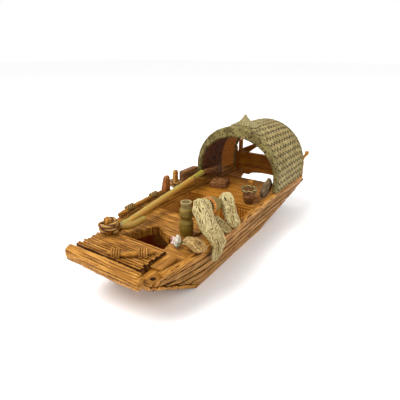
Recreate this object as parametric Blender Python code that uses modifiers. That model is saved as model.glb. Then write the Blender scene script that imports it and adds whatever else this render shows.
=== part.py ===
"""Incense burner in the form of a covered fishing sampan, built piece by piece.

Metres, +Z up. The bow points along -Y and port is +X. The origin is on the flat face of the bottom
board, on the centreline and half way along the hull. A stick of incense stands in the hole in the port
bow corner, and the hollow hull below the open hatch takes the ash.
"""
import math

import bmesh
import bpy
from mathutils import Matrix, Vector

# ---- Driving dimensions -----------------------------------------------------------------------

LENGTH = 0.272            # stem to the ends of the stern wings
BEAM = 0.100              # over the strakes at the widest station
BOW_BEAM = 0.077          # twice the port half width at the stem
STARBOARD_BOW = 0.0345    # starboard half width at the stem, where the foredeck reaches the side
CABIN_BEAM = 0.090        # over the strakes beside the canopy
STERN_BEAM = 0.088
BOTTOM_BEAM = 0.071       # flat bottom at the foot of the ramp
BOTTOM_BEAM_AFT = 0.061   # flat bottom where it starts to rise astern
SIDE_BULGE = 0.0012       # how far the sides are rounded out

RAIL_TOP = 0.0413         # the tops of the rails, above the table
SIDE_DECK_TOP = 0.0360
WALL_TOP = 0.0330         # the tops of the hull's walls
SHELF_TOP = 0.0300        # ledge inside the hull that the decks rest on
RAMP_HEIGHT = 0.0300      # underside of the hull at the stem
RAMP_LENGTH = 0.0570
PLANK_T = 0.0040          # bottom board and ramp planks
STRAKE_T = 0.0030
WALL_T = 0.0027
FLOOR_T = 0.0030
SHELF_W = 0.0030
STRAKES = 4               # each side

GAP = 0.0003              # clearance between pieces that touch
FIT = 0.0004              # clearance of a tenon in its socket

FOREDECK_LENGTH = 0.0290
FOREDECK_HALF = 0.0310    # to starboard of the centreline
FOREDECK_PORT = 0.0300    # to port of it, at the front
FOREDECK_TAPER = 0.0024   # how much its port edge comes in by its after edge
GEAR_START = 0.0418       # the station the gear on deck is laid out from, behind the stem
FOREDECK_TOP = 0.0408
FOREDECK_POLES = 12
LOG_HALF = 0.0343
LOG_SHIFT = 0.0015        # its middle, to port of the centreline
LOG_HEIGHT = 0.0140
LOG_DEPTH = 0.0088
BOW_SETBACK = 0.0048      # first hull station behind the middle of the bow log
STICK_HOLE_R = 0.0015
STICK_HOLE_DEPTH = 0.0055

MID_DECK_LENGTH = 0.0670
MID_DECK_TOP = 0.0330
CABIN_DECK_TOP = 0.0350
CABIN_LENGTH = 0.0670     # the cabin deck
CABIN_DECK_AFT = 0.0550   # its after edge, from the stern
BULKHEAD_T = 0.0030

CANOPY_LENGTH = 0.0720    # over both rims
CANOPY_AFT = 0.0280       # its after face, from the stern
CANOPY_HALF = 0.0445      # outside half width at its front
CANOPY_TAPER = 0.0018     # how much narrower each side is at its after end
CANOPY_T = 0.0036
CANOPY_FOOT = 0.0130      # the straight foot below the arch
RIM_LENGTH = 0.0052
RIM_CROWN = 0.0100        # height of the rim's face at the crown
HAT_RADIUS = 0.0142
HAT_HEIGHT = 0.0118

WING_TOP = 0.0665         # the stern wings, above the table
WING_T = 0.0036
TRANSOM_TOP = 0.0550
TRANSOM_BOTTOM = 0.0290
TRANSOM_T = 0.0050
TRANSOM_AFT = 0.0225      # its middle, from the stern

POLE_R = 0.0029           # the bamboo boat pole
SPAR_R = 0.0019
CREEL_HEIGHT = 0.0270
CREEL_R = 0.0054
BOLLARD_R = 0.0034
BOLLARD_HEIGHT = 0.0128
STOOL_SIZE = (0.0170, 0.0200, 0.0056)
CHEST_SIZE = (0.0060, 0.0250, 0.0135)
WEDGE_SIZE = (0.0056, 0.0080, 0.0155)
POST_SIDE = 0.0046

BOW = -LENGTH / 2
STERN = LENGTH / 2

WOOD = (0.55, 0.27, 0.06)
DARK_WOOD = (0.30, 0.13, 0.03)
ROPE = (0.52, 0.34, 0.14)
BAMBOO = (0.32, 0.30, 0.06)
STRAW = (0.42, 0.38, 0.22)
NET = (0.58, 0.52, 0.36)
DARK = (0.13, 0.06, 0.035)


# ---- Scene and small helpers ------------------------------------------------------------------

def clear_scene():
    for old in list(bpy.data.objects):
        bpy.data.objects.remove(old, do_unlink=True)


def new_collection(name):
    made = bpy.data.collections.new(name)
    bpy.context.scene.collection.children.link(made)
    return made


clear_scene()
PARTS = new_collection("sampan_incense_burner")
CUTTERS = new_collection("cutters")


def material(name, colour, roughness=0.6, metallic=0.0):
    made = bpy.data.materials.new(name)
    made.use_nodes = True
    shader = made.node_tree.nodes["Principled BSDF"]
    shader.inputs["Base Color"].default_value = (*colour, 1.0)
    shader.inputs["Roughness"].default_value = roughness
    shader.inputs["Metallic"].default_value = metallic
    return made


def place(name, data, colour, roughness=0.6, cutter=False):
    obj = bpy.data.objects.new(name, data)
    (CUTTERS if cutter else PARTS).objects.link(obj)
    if cutter:
        obj.hide_render = True
        obj.display_type = "WIRE"
    else:
        data.materials.append(material(name, colour, roughness))
    return obj


def mesh_of(bm, name):
    bmesh.ops.recalc_face_normals(bm, faces=bm.faces)
    mesh = bpy.data.meshes.new(name)
    bm.to_mesh(mesh)
    bm.free()
    return mesh


def bevel(obj, width, segments=1, angle=35):
    made = obj.modifiers.new("edges", "BEVEL")
    made.width = width
    made.segments = segments
    made.limit_method = "ANGLE"
    made.angle_limit = math.radians(angle)
    return obj


def boolean(obj, other, operation):
    made = obj.modifiers.new(operation.lower(), "BOOLEAN")
    made.operation = operation
    made.object = other
    return obj


def cut(obj, cutter):
    return boolean(obj, cutter, "DIFFERENCE")


def box(name, low, high, colour=WOOD, roughness=0.6, edge=0.0, turn=0.0, cutter=False):
    """A block between two corners, turned about its own upright axis."""
    low, high = Vector(low), Vector(high)
    bm = bmesh.new()
    bmesh.ops.create_cube(bm, size=1.0, matrix=Matrix.Diagonal((*(high - low), 1.0)))
    obj = place(name, mesh_of(bm, name), colour, roughness, cutter)
    obj.location = (low + high) / 2
    obj.rotation_euler.z = turn
    if edge:
        bevel(obj, edge)
    return obj


def loft(name, sections, colour=WOOD, roughness=0.6, cutter=False):
    """A closed solid through sections that all have the same number of points."""
    bm = bmesh.new()
    rings = [[bm.verts.new(point) for point in section] for section in sections]
    for near, far in zip(rings, rings[1:]):
        for i, corner in enumerate(near):
            j = (i + 1) % len(near)
            bm.faces.new((corner, near[j], far[j], far[i]))
    bm.faces.new(rings[0])
    bm.faces.new(rings[-1])
    bmesh.ops.triangulate(bm, faces=[face for face in bm.faces if len(face.verts) == 4])
    return place(name, mesh_of(bm, name), colour, roughness, cutter)


def tube(name, points, radius, colour, radii=None, resolution=2, roughness=0.6):
    """A round rod along points, as a curve with filled ends."""
    curve = bpy.data.curves.new(name, "CURVE")
    curve.dimensions = "3D"
    curve.bevel_depth = radius
    curve.bevel_resolution = resolution
    curve.use_fill_caps = True
    spline = curve.splines.new("POLY")
    spline.points.add(len(points) - 1)
    for i, (point, at) in enumerate(zip(spline.points, points)):
        point.co = (*at, 1.0)
        point.radius = radii[i] if radii else 1.0
    return place(name, curve, colour, roughness)


def as_mesh(obj, cutter=False):
    """The curve object's shape as a closed mesh object of the same name."""
    graph = bpy.context.evaluated_depsgraph_get()
    mesh = bpy.data.meshes.new_from_object(obj.evaluated_get(graph))
    name, world = obj.name, obj.matrix_world.copy()
    bpy.data.objects.remove(obj, do_unlink=True)
    bm = bmesh.new()
    bm.from_mesh(mesh)
    bmesh.ops.remove_doubles(bm, verts=bm.verts, dist=0.00001)
    bm.to_mesh(mesh)
    bm.free()
    made = bpy.data.objects.new(name, mesh)
    made.matrix_world = world
    (CUTTERS if cutter else PARTS).objects.link(made)
    return made


def plate(name, outline, low, high, colour=WOOD, roughness=0.6, edge=0.0):
    """A flat piece: an outline in plan, from one height to another."""
    curve = bpy.data.curves.new(name, "CURVE")
    curve.dimensions = "2D"
    curve.fill_mode = "BOTH"
    curve.extrude = (high - low) / 2
    spline = curve.splines.new("POLY")
    spline.points.add(len(outline) - 1)
    spline.use_cyclic_u = True
    for point, (x, y) in zip(spline.points, outline):
        point.co = (x, y, 0.0, 1.0)
    obj = place(name, curve, colour, roughness)
    obj.location.z = (low + high) / 2
    bpy.context.view_layer.update()
    obj = as_mesh(obj)
    if edge:
        bevel(obj, edge)
    return obj


def turned(name, profile, location, colour, roughness=0.6, steps=20, cutter=False):
    """A turned piece: profile points (radius, height) down its outside, top to bottom."""
    bm = bmesh.new()
    corners = [bm.verts.new((radius, 0.0, height)) for radius, height in profile]
    for upper, lower in zip(corners, corners[1:]):
        bm.edges.new((upper, lower))
    mesh = bpy.data.meshes.new(name)
    bm.to_mesh(mesh)
    bm.free()
    obj = place(name, mesh, colour, roughness, cutter)
    obj.location = location
    screw = obj.modifiers.new("turn", "SCREW")
    screw.steps = steps
    screw.render_steps = steps
    screw.use_merge_vertices = True
    screw.merge_threshold = 0.00005
    return obj


def drill(name, x, y, top, bottom, radius, sides=16):
    """An upright round cutter."""
    bm = bmesh.new()
    bmesh.ops.create_cone(bm, cap_ends=True, segments=sides, radius1=radius, radius2=radius,
                          depth=top - bottom)
    obj = place(name, mesh_of(bm, name), WOOD, cutter=True)
    obj.location = (x, y, (top + bottom) / 2)
    return obj


def flow(stations, y):
    """Smooth value at y through (position, value) stations, level beyond the ends."""
    if y <= stations[0][0]:
        return stations[0][1]
    if y >= stations[-1][0]:
        return stations[-1][1]
    last = len(stations) - 1
    i = max(k for k in range(last) if stations[k][0] <= y)

    def slope(k):
        a, b = stations[max(k - 1, 0)], stations[min(k + 1, last)]
        return (b[1] - a[1]) / (b[0] - a[0])

    (y0, v0), (y1, v1) = stations[i], stations[i + 1]
    span = y1 - y0
    t = (y - y0) / span
    near = (1 + 2 * t) * (1 - t) ** 2 * v0 + t * (1 - t) ** 2 * span * slope(i)
    return near + t * t * (3 - 2 * t) * v1 - t * t * (1 - t) * span * slope(i + 1)


def straight(stations, y):
    """Value at y on straight runs through (position, value) stations."""
    for (y0, v0), (y1, v1) in zip(stations, stations[1:]):
        if y <= y1:
            return v0 + (v1 - v0) * max(0.0, (y - y0) / (y1 - y0))
    return stations[-1][1]


def spread(low, high, count):
    return [low + (high - low) * i / (count - 1) for i in range(count)]


def arc_points(centre, radius_a, radius_b, start, stop, count):
    """Points (a, b) on an ellipse from one angle to another, in degrees."""
    angles = [math.radians(angle) for angle in spread(start, stop, count)]
    return [(centre[0] + radius_a * math.cos(a), centre[1] + radius_b * math.sin(a)) for a in angles]


# ---- Hull lines -------------------------------------------------------------------------------

RAMP_FOOT = BOW + RAMP_LENGTH
RISE_START = STERN - 0.101
DECK_END = STERN - CABIN_DECK_AFT
HULL_END = STERN - 0.010
FOREDECK_END = BOW + BOW_SETBACK + FOREDECK_LENGTH
GEAR = BOW + GEAR_START
CABIN_FRONT = DECK_END - CABIN_LENGTH
MID_DECK_END = FOREDECK_END + MID_DECK_LENGTH
CANOPY_BACK = STERN - CANOPY_AFT
CANOPY_FRONT = CANOPY_BACK - CANOPY_LENGTH
HULL_TRANSOM_T = 0.004
CORNER_BLOCK = BOW + 0.0118   # the solid bow corners end here and the strakes start

AFT_PLAN = (
    (BOW + 0.50 * LENGTH, 0.3 * BEAM / 2 + 0.7 * CABIN_BEAM / 2),
    (BOW + 0.66 * LENGTH, CABIN_BEAM / 2),
    (BOW + 0.86 * LENGTH, CABIN_BEAM / 2),
    (STERN, STERN_BEAM / 2),
)
PORT_PLAN = (
    (BOW, BOW_BEAM / 2),
    (BOW + 0.08 * LENGTH, 0.3 * BOW_BEAM / 2 + 0.7 * BEAM / 2),
    (BOW + 0.28 * LENGTH, BEAM / 2),
) + AFT_PLAN
STARBOARD_PLAN = (
    (BOW, STARBOARD_BOW),
    (BOW + 0.14 * LENGTH, STARBOARD_BOW + 0.0015),
    (BOW + 0.28 * LENGTH, 0.86 * BEAM / 2),
) + AFT_PLAN
BOTTOM_PLAN = (
    (BOW, BOW_BEAM / 2 - 0.0020),
    (RAMP_FOOT, BOTTOM_BEAM / 2),
    (RISE_START, BOTTOM_BEAM_AFT / 2),
    (STERN - 0.037, BOTTOM_BEAM_AFT / 2 + 0.0035),
    (STERN, STERN_BEAM / 2 - 0.0065),
)
KEEL = (
    (BOW, RAMP_HEIGHT),
    (RAMP_FOOT, 0.0),
    (RISE_START, 0.0),
    (STERN - 0.067, 0.0085),
    (STERN - 0.037, 0.0165),
    (STERN, 0.0330),
)


def half_beam(y, hand=1):
    """Half width over the strakes at the rail: hand is 1 for port and -1 for starboard."""
    return flow(PORT_PLAN if hand > 0 else STARBOARD_PLAN, y)


def bottom_half(y, hand=1):
    return min(flow(BOTTOM_PLAN, y), half_beam(y, hand) - 0.0020)


def keel(y):
    return straight(KEEL, y)


def side(y, z, hand=1):
    """Half width over the strakes at a station and a height."""
    low = keel(y)
    s = max(0.0, (z - low) / (RAIL_TOP - low))
    width = bottom_half(y, hand) + (half_beam(y, hand) - bottom_half(y, hand)) * s
    return width + SIDE_BULGE * 4 * s * (1 - s)


def plank_top(y):
    return keel(y) + PLANK_T + GAP


def wall_outside(y, z, hand):
    covered = STRAKE_T if y > CORNER_BLOCK else 0.0
    return side(y, z, hand) - covered - 2 * GAP


def wall_inside(y, z, hand):
    return side(y, z, hand) - STRAKE_T - 2 * GAP - WALL_T


# ---- Hull -------------------------------------------------------------------------------------

def foredeck_edge(y, hand):
    """Half width of the foredeck at a station: its port edge comes in toward its after end."""
    front = BOW + BOW_SETBACK
    taper = straight(((front, 0.0), (FOREDECK_END, FOREDECK_TAPER)), y)
    return FOREDECK_PORT - taper if hand > 0 else FOREDECK_HALF


def hull_section(y, half_at, bottom, top):
    """A cross section whose half width at each height comes from half_at."""
    heights = spread(bottom, top, 4)
    port = [Vector((half_at(y, z, 1), y, z)) for z in heights]
    starboard = [Vector((-half_at(y, z, -1), y, z)) for z in reversed(heights)]
    return port + starboard


def build_hull_shell():
    step = 0.0001
    stations = [BOW + BOW_SETBACK, CORNER_BLOCK - step, CORNER_BLOCK + step]
    stations += spread(BOW + 0.016, RAMP_FOOT, 7) + spread(RAMP_FOOT + 0.014, RISE_START, 7)
    stations += spread(STERN - 0.084, HULL_END, 6)
    sections = [hull_section(y, wall_outside, plank_top(y), WALL_TOP) for y in stations]
    hull = loft("hull_shell", sections)

    def under_foredeck(y, z, hand):
        return min(foredeck_edge(y, hand) - 0.005, wall_inside(y, z, hand) - SHELF_W)

    def under_shelf(y, z, hand):
        in_well = MID_DECK_END + GAP < y < CABIN_FRONT - BULKHEAD_T
        return wall_inside(y, z, hand) - (GAP if in_well else SHELF_W)

    def stern_walls(y, z, hand):
        return wall_inside(y, z, hand) - GAP

    def floor(y):
        return plank_top(y) + FLOOR_T

    clear = 0.01
    inner_end = DECK_END - HULL_TRANSOM_T
    bow_run = spread(BOW + 0.017, FOREDECK_END + 0.003, 4)
    cut(hull, loft("bow_hollow", [hull_section(y, under_foredeck, floor(y), WALL_TOP + clear)
                                  for y in bow_run], cutter=True))
    low_run = spread(FOREDECK_END + 2 * step, MID_DECK_END - step, 3)
    low_run += spread(MID_DECK_END + GAP + step, CABIN_FRONT - BULKHEAD_T - step, 3)
    low_run += spread(CABIN_FRONT - BULKHEAD_T + step, inner_end, 5)
    cut(hull, loft("low_hollow", [hull_section(y, under_shelf, floor(y), SHELF_TOP + step)
                                  for y in low_run], cutter=True))
    high_run = spread(FOREDECK_END + 2 * step, HULL_END + clear, 19)
    cut(hull, loft("high_hollow", [hull_section(y, wall_inside, SHELF_TOP, WALL_TOP + clear)
                                   for y in high_run], cutter=True))
    stern_run = spread(DECK_END, HULL_END + clear, 4)
    cut(hull, loft("stern_hollow", [hull_section(y, stern_walls, -clear, WALL_TOP + clear)
                                    for y in stern_run], cutter=True))
    return hull


def slab(name, stations, low, top, scallop=0.0, colour=WOOD):
    """A bottom or ramp covering between the keel line and the hull."""
    sections = []
    for i, y in enumerate(stations):
        notch = scallop if i % 2 == 0 else 0.0
        z0, z1 = low(y) + notch / 2, top(y) - notch / 2
        heights = (z0, (z0 + z1) / 2, z1)
        port = [(side(y, z, 1) - notch, y, z) for z in heights]
        starboard = [(notch - side(y, z, -1), y, z) for z in reversed(heights)]
        sections.append(port + starboard)
    return loft(name, sections, colour)


def build_bottom():
    start = RAMP_FOOT + GAP
    stations = spread(start, RISE_START, 6) + spread(RISE_START + 0.012, DECK_END, 4)
    slab("bottom_board", stations, keel, lambda y: keel(y) + PLANK_T)
    ramp = spread(BOW + BOW_SETBACK + GAP, RAMP_FOOT - GAP, 37)
    slab("bow_ramp_planks", ramp, keel, lambda y: keel(y) + PLANK_T, scallop=0.0007)


def build_strakes():
    low_edge = PLANK_T + GAP
    pitch = (WALL_TOP - low_edge) / STRAKES
    shortest = 0.0015
    fine = spread(CORNER_BLOCK + GAP, HULL_END, 200)
    for number in range(1, STRAKES + 1):
        top = WALL_TOP - (number - 1) * pitch
        nominal = top - pitch + GAP
        afloat = [y for y in fine if plank_top(y) < top - shortest]
        run = spread(afloat[0], afloat[-1], 17)
        for label, hand in (("port", 1), ("starboard", -1)):
            sections = []
            for y in run:
                low = max(nominal, plank_top(y))
                edge = min(0.0006, (top - low) / 4)
                middle = (low + top) / 2
                section = [
                    (side(y, low, hand) - STRAKE_T, low), (side(y, low, hand) - edge, low),
                    (side(y, low + edge, hand), low + edge), (side(y, middle, hand) + 0.0003, middle),
                    (side(y, top - edge, hand), top - edge), (side(y, top, hand) - edge, top),
                    (side(y, top, hand) - STRAKE_T, top),
                ]
                sections.append([(hand * x, y, z) for x, z in section])
            loft(f"{label}_strake_{number}", sections)


def rail_top(y):
    return flow(((BOW + 0.010, RAIL_TOP - 0.0030), (BOW + 0.034, RAIL_TOP - 0.0014),
                 (BOW + 0.064, RAIL_TOP)), y)


RAIL_INSET = 0.0055
SIDE_DECK_W = 0.0070


def build_side_decks():
    step = 0.0003
    fore = spread(BOW + BOW_SETBACK, FOREDECK_END, 5)
    aft = spread(FOREDECK_END + step, CANOPY_BACK, 12)
    for label, hand in (("port", 1), ("starboard", -1)):
        sections = []
        for y in fore + aft:
            low, top = WALL_TOP + GAP, SIDE_DECK_TOP
            inner = foredeck_edge(y, hand) + GAP if y in fore else half_beam(y, hand) - SIDE_DECK_W
            corners = [(inner, low), (side(y, low, hand), low), (side(y, top, hand), top), (inner, top)]
            sections.append([(hand * x, y, z) for x, z in corners])
        deck = loft(f"{label}_side_deck", sections)
        if hand > 0:
            port_deck = deck
        rail = []
        rail_start = BOW + 0.012 if hand > 0 else GEAR + step
        for y in spread(rail_start, CANOPY_BACK, 16):
            low, top, inner = SIDE_DECK_TOP + GAP, rail_top(y), half_beam(y, hand) - RAIL_INSET
            outer = side(y, low, hand) + 0.0003
            soft = min(0.0012, (top - low) / 3)
            corners = [(inner, low), (outer, low), (outer + 0.0004, top - soft), (outer - soft, top),
                       (inner + soft, top), (inner, top - soft)]
            rail.append([(hand * x, y, z) for x, z in corners])
        loft(f"{label}_rail", rail)
    return port_deck


def drill_stick_hole(pieces):
    y = BOW + 0.0078
    hole = drill("stick_hole", half_beam(y) - 0.0034, y, SIDE_DECK_TOP + 0.002,
                 SIDE_DECK_TOP - STICK_HOLE_DEPTH, STICK_HOLE_R)
    for piece in pieces:
        cut(piece, hole)


# ---- Bow and foredeck -------------------------------------------------------------------------

def build_bow_log():
    middle = RAMP_HEIGHT - 0.001 + LOG_HEIGHT / 2
    sections = []
    for s in (-1.0, -0.985, -0.93, -0.6, -0.2, 0.3, 0.7, 0.93, 0.985, 1.0):
        fade = math.sqrt(max(0.0, 1 - abs(s) ** 22)) * 0.72 + 0.28
        wave = 1 + 0.05 * math.sin(5 * s + 1) + 0.04 * s
        round_points = arc_points((BOW, middle), LOG_DEPTH / 2 * fade * wave, LOG_HEIGHT / 2 * fade * wave,
                                  0, 330, 12)
        sections.append([(LOG_SHIFT + s * LOG_HALF, y, z) for y, z in round_points])
    return loft("bow_log", sections)


def build_foredeck():
    pitch = FOREDECK_LENGTH / FOREDECK_POLES
    start = BOW + BOW_SETBACK + GAP
    pole_r = (pitch - GAP / FOREDECK_POLES) / 2
    low, top = WALL_TOP + GAP, FOREDECK_TOP
    profile = [(start, low)]
    for i in range(FOREDECK_POLES):
        centre = start + (2 * i + 1) * pole_r
        profile += arc_points((centre, top - pole_r), pole_r, pole_r, 165, 15, 5)
    profile.append((start + 2 * pole_r * FOREDECK_POLES, low))
    sections = [[(hand * foredeck_edge(y, hand), y, z) for y, z in profile] for hand in (-1, 1)]
    return loft("foredeck", sections)


LASHING_R = 0.0006
LASHING_PASSES = 4


def lashing(middle, along, rod_r, rope_r, rest):
    """Rope passes laid side by side over a rod, down to the face that the rod lies on."""
    middle, along = Vector(middle), Vector(along)
    across = Vector((-along.y, along.x, 0.0))
    reach = rod_r + rope_r + GAP
    low = rest + rope_r - middle.z
    points = []
    for number in range(LASHING_PASSES):
        slide = along * (number - (LASHING_PASSES - 1) / 2) * 2.6 * rope_r
        over = [(reach, low)] + arc_points((0.0, 0.0), reach, reach, 0, 180, 7) + [(-reach, low)]
        if number % 2:
            over.reverse()
        points += [middle + slide + across * a + Vector((0.0, 0.0, b)) for a, b in over]
    return points


YOKE_START = Vector((0.0, BOW + 0.0066))
YOKE_FINISH = Vector((0.0250, BOW + 0.0262))
YOKE_CURVE = 0.0030       # how far its middle curves out toward the port bow
YOKE_END_R = 0.0011
YOKE_SWELL = 0.0009       # how much thicker it is in the middle
YOKE_SLACK = 0.0007       # between its lashings and the stick


def yoke_place(t):
    """The middle of the carrying stick at a share of its length, and its radius there."""
    at = YOKE_START.lerp(YOKE_FINISH, t)
    swell = math.sin(math.pi * t)
    radius = YOKE_END_R + YOKE_SWELL * swell
    return (at.x + YOKE_CURVE * swell, at.y - YOKE_CURVE * swell, FOREDECK_TOP + GAP + radius), radius


def build_yoke():
    """A carved carrying stick lashed across the foredeck."""
    line = [yoke_place(t) for t in spread(0.0, 1.0, 13)]
    radii = [radius / YOKE_END_R for middle, radius in line]
    tube("deck_yoke", [middle for middle, radius in line], YOKE_END_R, WOOD, radii)
    heading = (YOKE_FINISH - YOKE_START).normalized().to_3d()
    for label, t in (("port", 0.74), ("starboard", 0.18)):
        middle, radius = yoke_place(t)
        passes = lashing(middle, heading, radius + YOKE_SLACK, LASHING_R, FOREDECK_TOP + GAP)
        tube(f"yoke_lashing_{label}", passes, LASHING_R, ROPE)


def build_deck_planks():
    rest = SIDE_DECK_TOP + GAP
    start, finish = BOW + 0.0150, FOREDECK_END - 0.0006
    plank = [(foredeck_edge(start, 1) + 2 * GAP, start),
             (half_beam(start) - RAIL_INSET - 2 * GAP, start + 0.0010),
             (half_beam(finish) - RAIL_INSET - 0.0040, finish), (foredeck_edge(finish, 1) + 2 * GAP, finish)]
    plate("deck_plank", plank, rest, rest + 0.0021, edge=0.0003)
    front, back = FOREDECK_END + 0.0010, FOREDECK_END + 0.0112
    block = [(0.0218, front), (half_beam(front) - SIDE_DECK_W - 2 * GAP, front),
             (half_beam(front) - SIDE_DECK_W - 2 * GAP, back - 0.0014), (0.0208, back)]
    plate("deck_block", block, MID_DECK_TOP + GAP, MID_DECK_TOP + 0.0034, edge=0.0003)


# ---- Decks inside the hull --------------------------------------------------------------------

def deck_outline(start, finish, level, count):
    """Plan of a deck that rests on the ledge between the hull's walls."""
    run = spread(start, finish, count)
    port = [(wall_inside(y, level, 1) - 2 * GAP, y) for y in run]
    starboard = [(2 * GAP - wall_inside(y, level, -1), y) for y in reversed(run)]
    return port + starboard


HATCH = ((-0.0258, FOREDECK_END - 0.002), (0.0190, FOREDECK_END - 0.002),
         (0.0135, GEAR + 0.0152), (-0.0104, GEAR + 0.0291))


def build_mid_deck():
    outline = deck_outline(FOREDECK_END + 2 * GAP, MID_DECK_END, SHELF_TOP, 10)
    deck = plate("mid_deck", outline, SHELF_TOP + GAP, MID_DECK_TOP)
    grow = 0.01
    hatch = [[(x, y, z) for x, y in HATCH] for z in (SHELF_TOP - grow, MID_DECK_TOP + grow)]
    return cut(deck, loft("hatch_opening", hatch, cutter=True))


def build_cabin_floor():
    head = CABIN_FRONT - BULKHEAD_T
    sections = []
    for y in (head + 2 * GAP, head + BULKHEAD_T - GAP):
        bottom = plank_top(y) + FLOOR_T + GAP
        heights = spread(bottom, SHELF_TOP, 4)
        port = [(wall_inside(y, z, 1) - SHELF_W - GAP, y, z) for z in heights]
        starboard = [(SHELF_W + GAP - wall_inside(y, z, -1), y, z) for z in reversed(heights)]
        sections.append(port + starboard)
    loft("cabin_bulkhead", sections)
    outline = deck_outline(CABIN_FRONT - 0.002, DECK_END, SHELF_TOP, 8)
    low = SHELF_TOP + GAP
    flush = []
    for x, y in outline:
        hand = math.copysign(1, x)
        flush.append((hand * min(abs(x), half_beam(y, hand) - SIDE_DECK_W - GAP), y))
    return plate("cabin_deck", flush, low, CABIN_DECK_TOP, edge=0.0004)


MAT_T = 0.0020
MAT_LIP = 0.0050


def build_straw_mat():
    """A straw rain cape spread on the deck, its fringe hanging into the hatch."""
    rest = MID_DECK_TOP + GAP
    left_fore, right_fore = HATCH[0], HATCH[1]
    right_aft, left_aft = HATCH[2], HATCH[3]
    over = 0.0016
    edge = half_beam(GEAR + 0.012, -1) - SIDE_DECK_W - 2 * GAP
    outline = [
        (left_fore[0] + over, left_fore[1] + 0.0050), (left_aft[0] + over, left_aft[1] - over),
        (right_aft[0], right_aft[1] - over), (right_aft[0] + 0.0078, right_aft[1] + 0.0010),
        (0.0250, MID_DECK_END - 0.0240), (0.0240, MID_DECK_END - 0.0150), (0.0060, MID_DECK_END - 0.0050),
        (-edge + 0.006, MID_DECK_END - 0.0090), (-edge, MID_DECK_END - 0.0250),
        (-edge + 0.001, GEAR + 0.0130),
    ]
    mat = plate("straw_mat", outline, rest, rest + MAT_T, STRAW)
    ends = (Vector(left_fore).lerp(Vector(left_aft), 0.2), left_aft, right_aft)
    for number, (a, b) in enumerate(zip(ends, ends[1:])):
        a, b = Vector(a), Vector(b)
        along = (b - a).normalized()
        inward = Vector((along.y, -along.x))
        near = [a + inward * 0.0005 + along * 0.0012, b + inward * 0.0005 - along * 0.0030]
        far = [b + inward * 0.0016 - along * 0.0034, a + inward * 0.0016 + along * 0.0016]
        corners = [tuple(corner) for corner in near + far]
        levels = (rest - MAT_LIP, rest + MAT_T / 2)
        lip = loft(f"mat_lip_{number}", [[(x, y, z) for x, y in corners] for z in levels], cutter=True)
        boolean(mat, lip, "UNION")
    return mat


# ---- Canopy -----------------------------------------------------------------------------------

FOOT_Z = RAIL_TOP + GAP
SPRING_Z = FOOT_Z + CANOPY_FOOT
ARCH_STEPS = 25


def canopy_half(y):
    return straight(((CANOPY_FRONT, CANOPY_HALF), (CANOPY_BACK, CANOPY_HALF - CANOPY_TAPER)), y)


def arch(name, grow, wall, crown, front, back, colour):
    """A barrel vault on straight feet: wall thick at the feet and crown thick overhead."""
    rings = []
    for y in (front, back):
        outer = canopy_half(y) + grow
        inner, rise = outer - wall, outer - crown
        outside = [(outer, FOOT_Z)] + arc_points((0.0, SPRING_Z), outer, outer, 0, 180, ARCH_STEPS)
        outside.append((-outer, FOOT_Z))
        inside = [(-inner, FOOT_Z)] + arc_points((0.0, SPRING_Z), inner, rise, 180, 0, ARCH_STEPS)
        inside.append((inner, FOOT_Z))
        rings.append([(x, y, z) for x, z in outside + inside])
    bm = bmesh.new()
    rings = [[bm.verts.new(point) for point in ring] for ring in rings]
    count = len(rings[0])
    for i in range(count):
        j = (i + 1) % count
        bm.faces.new((rings[0][i], rings[0][j], rings[1][j], rings[1][i]))
    for ring in rings:
        for i in range(count // 2 - 1):
            bm.faces.new((ring[i], ring[i + 1], ring[count - 2 - i], ring[count - 1 - i]))
    return place(name, mesh_of(bm, name), colour)


def build_canopy():
    shell_front, shell_back = CANOPY_FRONT + RIM_LENGTH, CANOPY_BACK - RIM_LENGTH
    proud = 0.0004
    arch("canopy_shell", 0.0, CANOPY_T, CANOPY_T + 0.0010, shell_front, shell_back, STRAW)
    for name, start, finish in (
            ("canopy_front_rim", CANOPY_FRONT, shell_front - GAP),
            ("canopy_rear_rim", shell_back + GAP, CANOPY_BACK)):
        rim = arch(name, proud, CANOPY_T + 2 * proud, RIM_CROWN + proud, start, finish, BAMBOO)
        bevel(rim, 0.0009, angle=60)


def build_hat():
    y = CANOPY_FRONT + 0.0180
    base = SPRING_Z + CANOPY_HALF - 0.0022
    top = base + HAT_HEIGHT
    profile = [(0.0, top), (0.0011, top - 0.0005), (0.0024, top - 0.0030), (0.0052, top - 0.0062),
               (0.0098, top - 0.0090), (HAT_RADIUS, top - 0.0106), (HAT_RADIUS, top - 0.0112),
               (HAT_RADIUS - 0.002, top - 0.0140), (0.0, top - 0.0140)]
    hat = turned("straw_hat", profile, (0.0, y, 0.0), STRAW, steps=24)
    bm = bmesh.new()
    turn = Matrix.Translation((0.0, y, SPRING_Z)) @ Matrix.Rotation(math.radians(90), 4, "X")
    bmesh.ops.create_cone(bm, cap_ends=True, segments=64, radius1=CANOPY_HALF + GAP,
                          radius2=CANOPY_HALF + GAP, depth=4 * HAT_RADIUS, matrix=turn)
    return cut(hat, place("under_hat", mesh_of(bm, "under_hat"), STRAW, cutter=True))


# ---- Stern ------------------------------------------------------------------------------------

WING_FOOT = 0.0416        # half width over the wings, below the transom's top
WING_HEAD = 0.0460        # half width over their tips
WING_FOOT_LENGTH = 0.0026
TRANSOM_HALF = 0.0410
TRANSOM_ARCH = 0.0045     # rise of the curve cut out of its lower edge
POST_HALF = 0.0021
TENON_HALF = 0.0011
TENON_DEPTH = 0.0050
BRACE_W = 0.0044
BRACE_T = 0.0032


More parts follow.
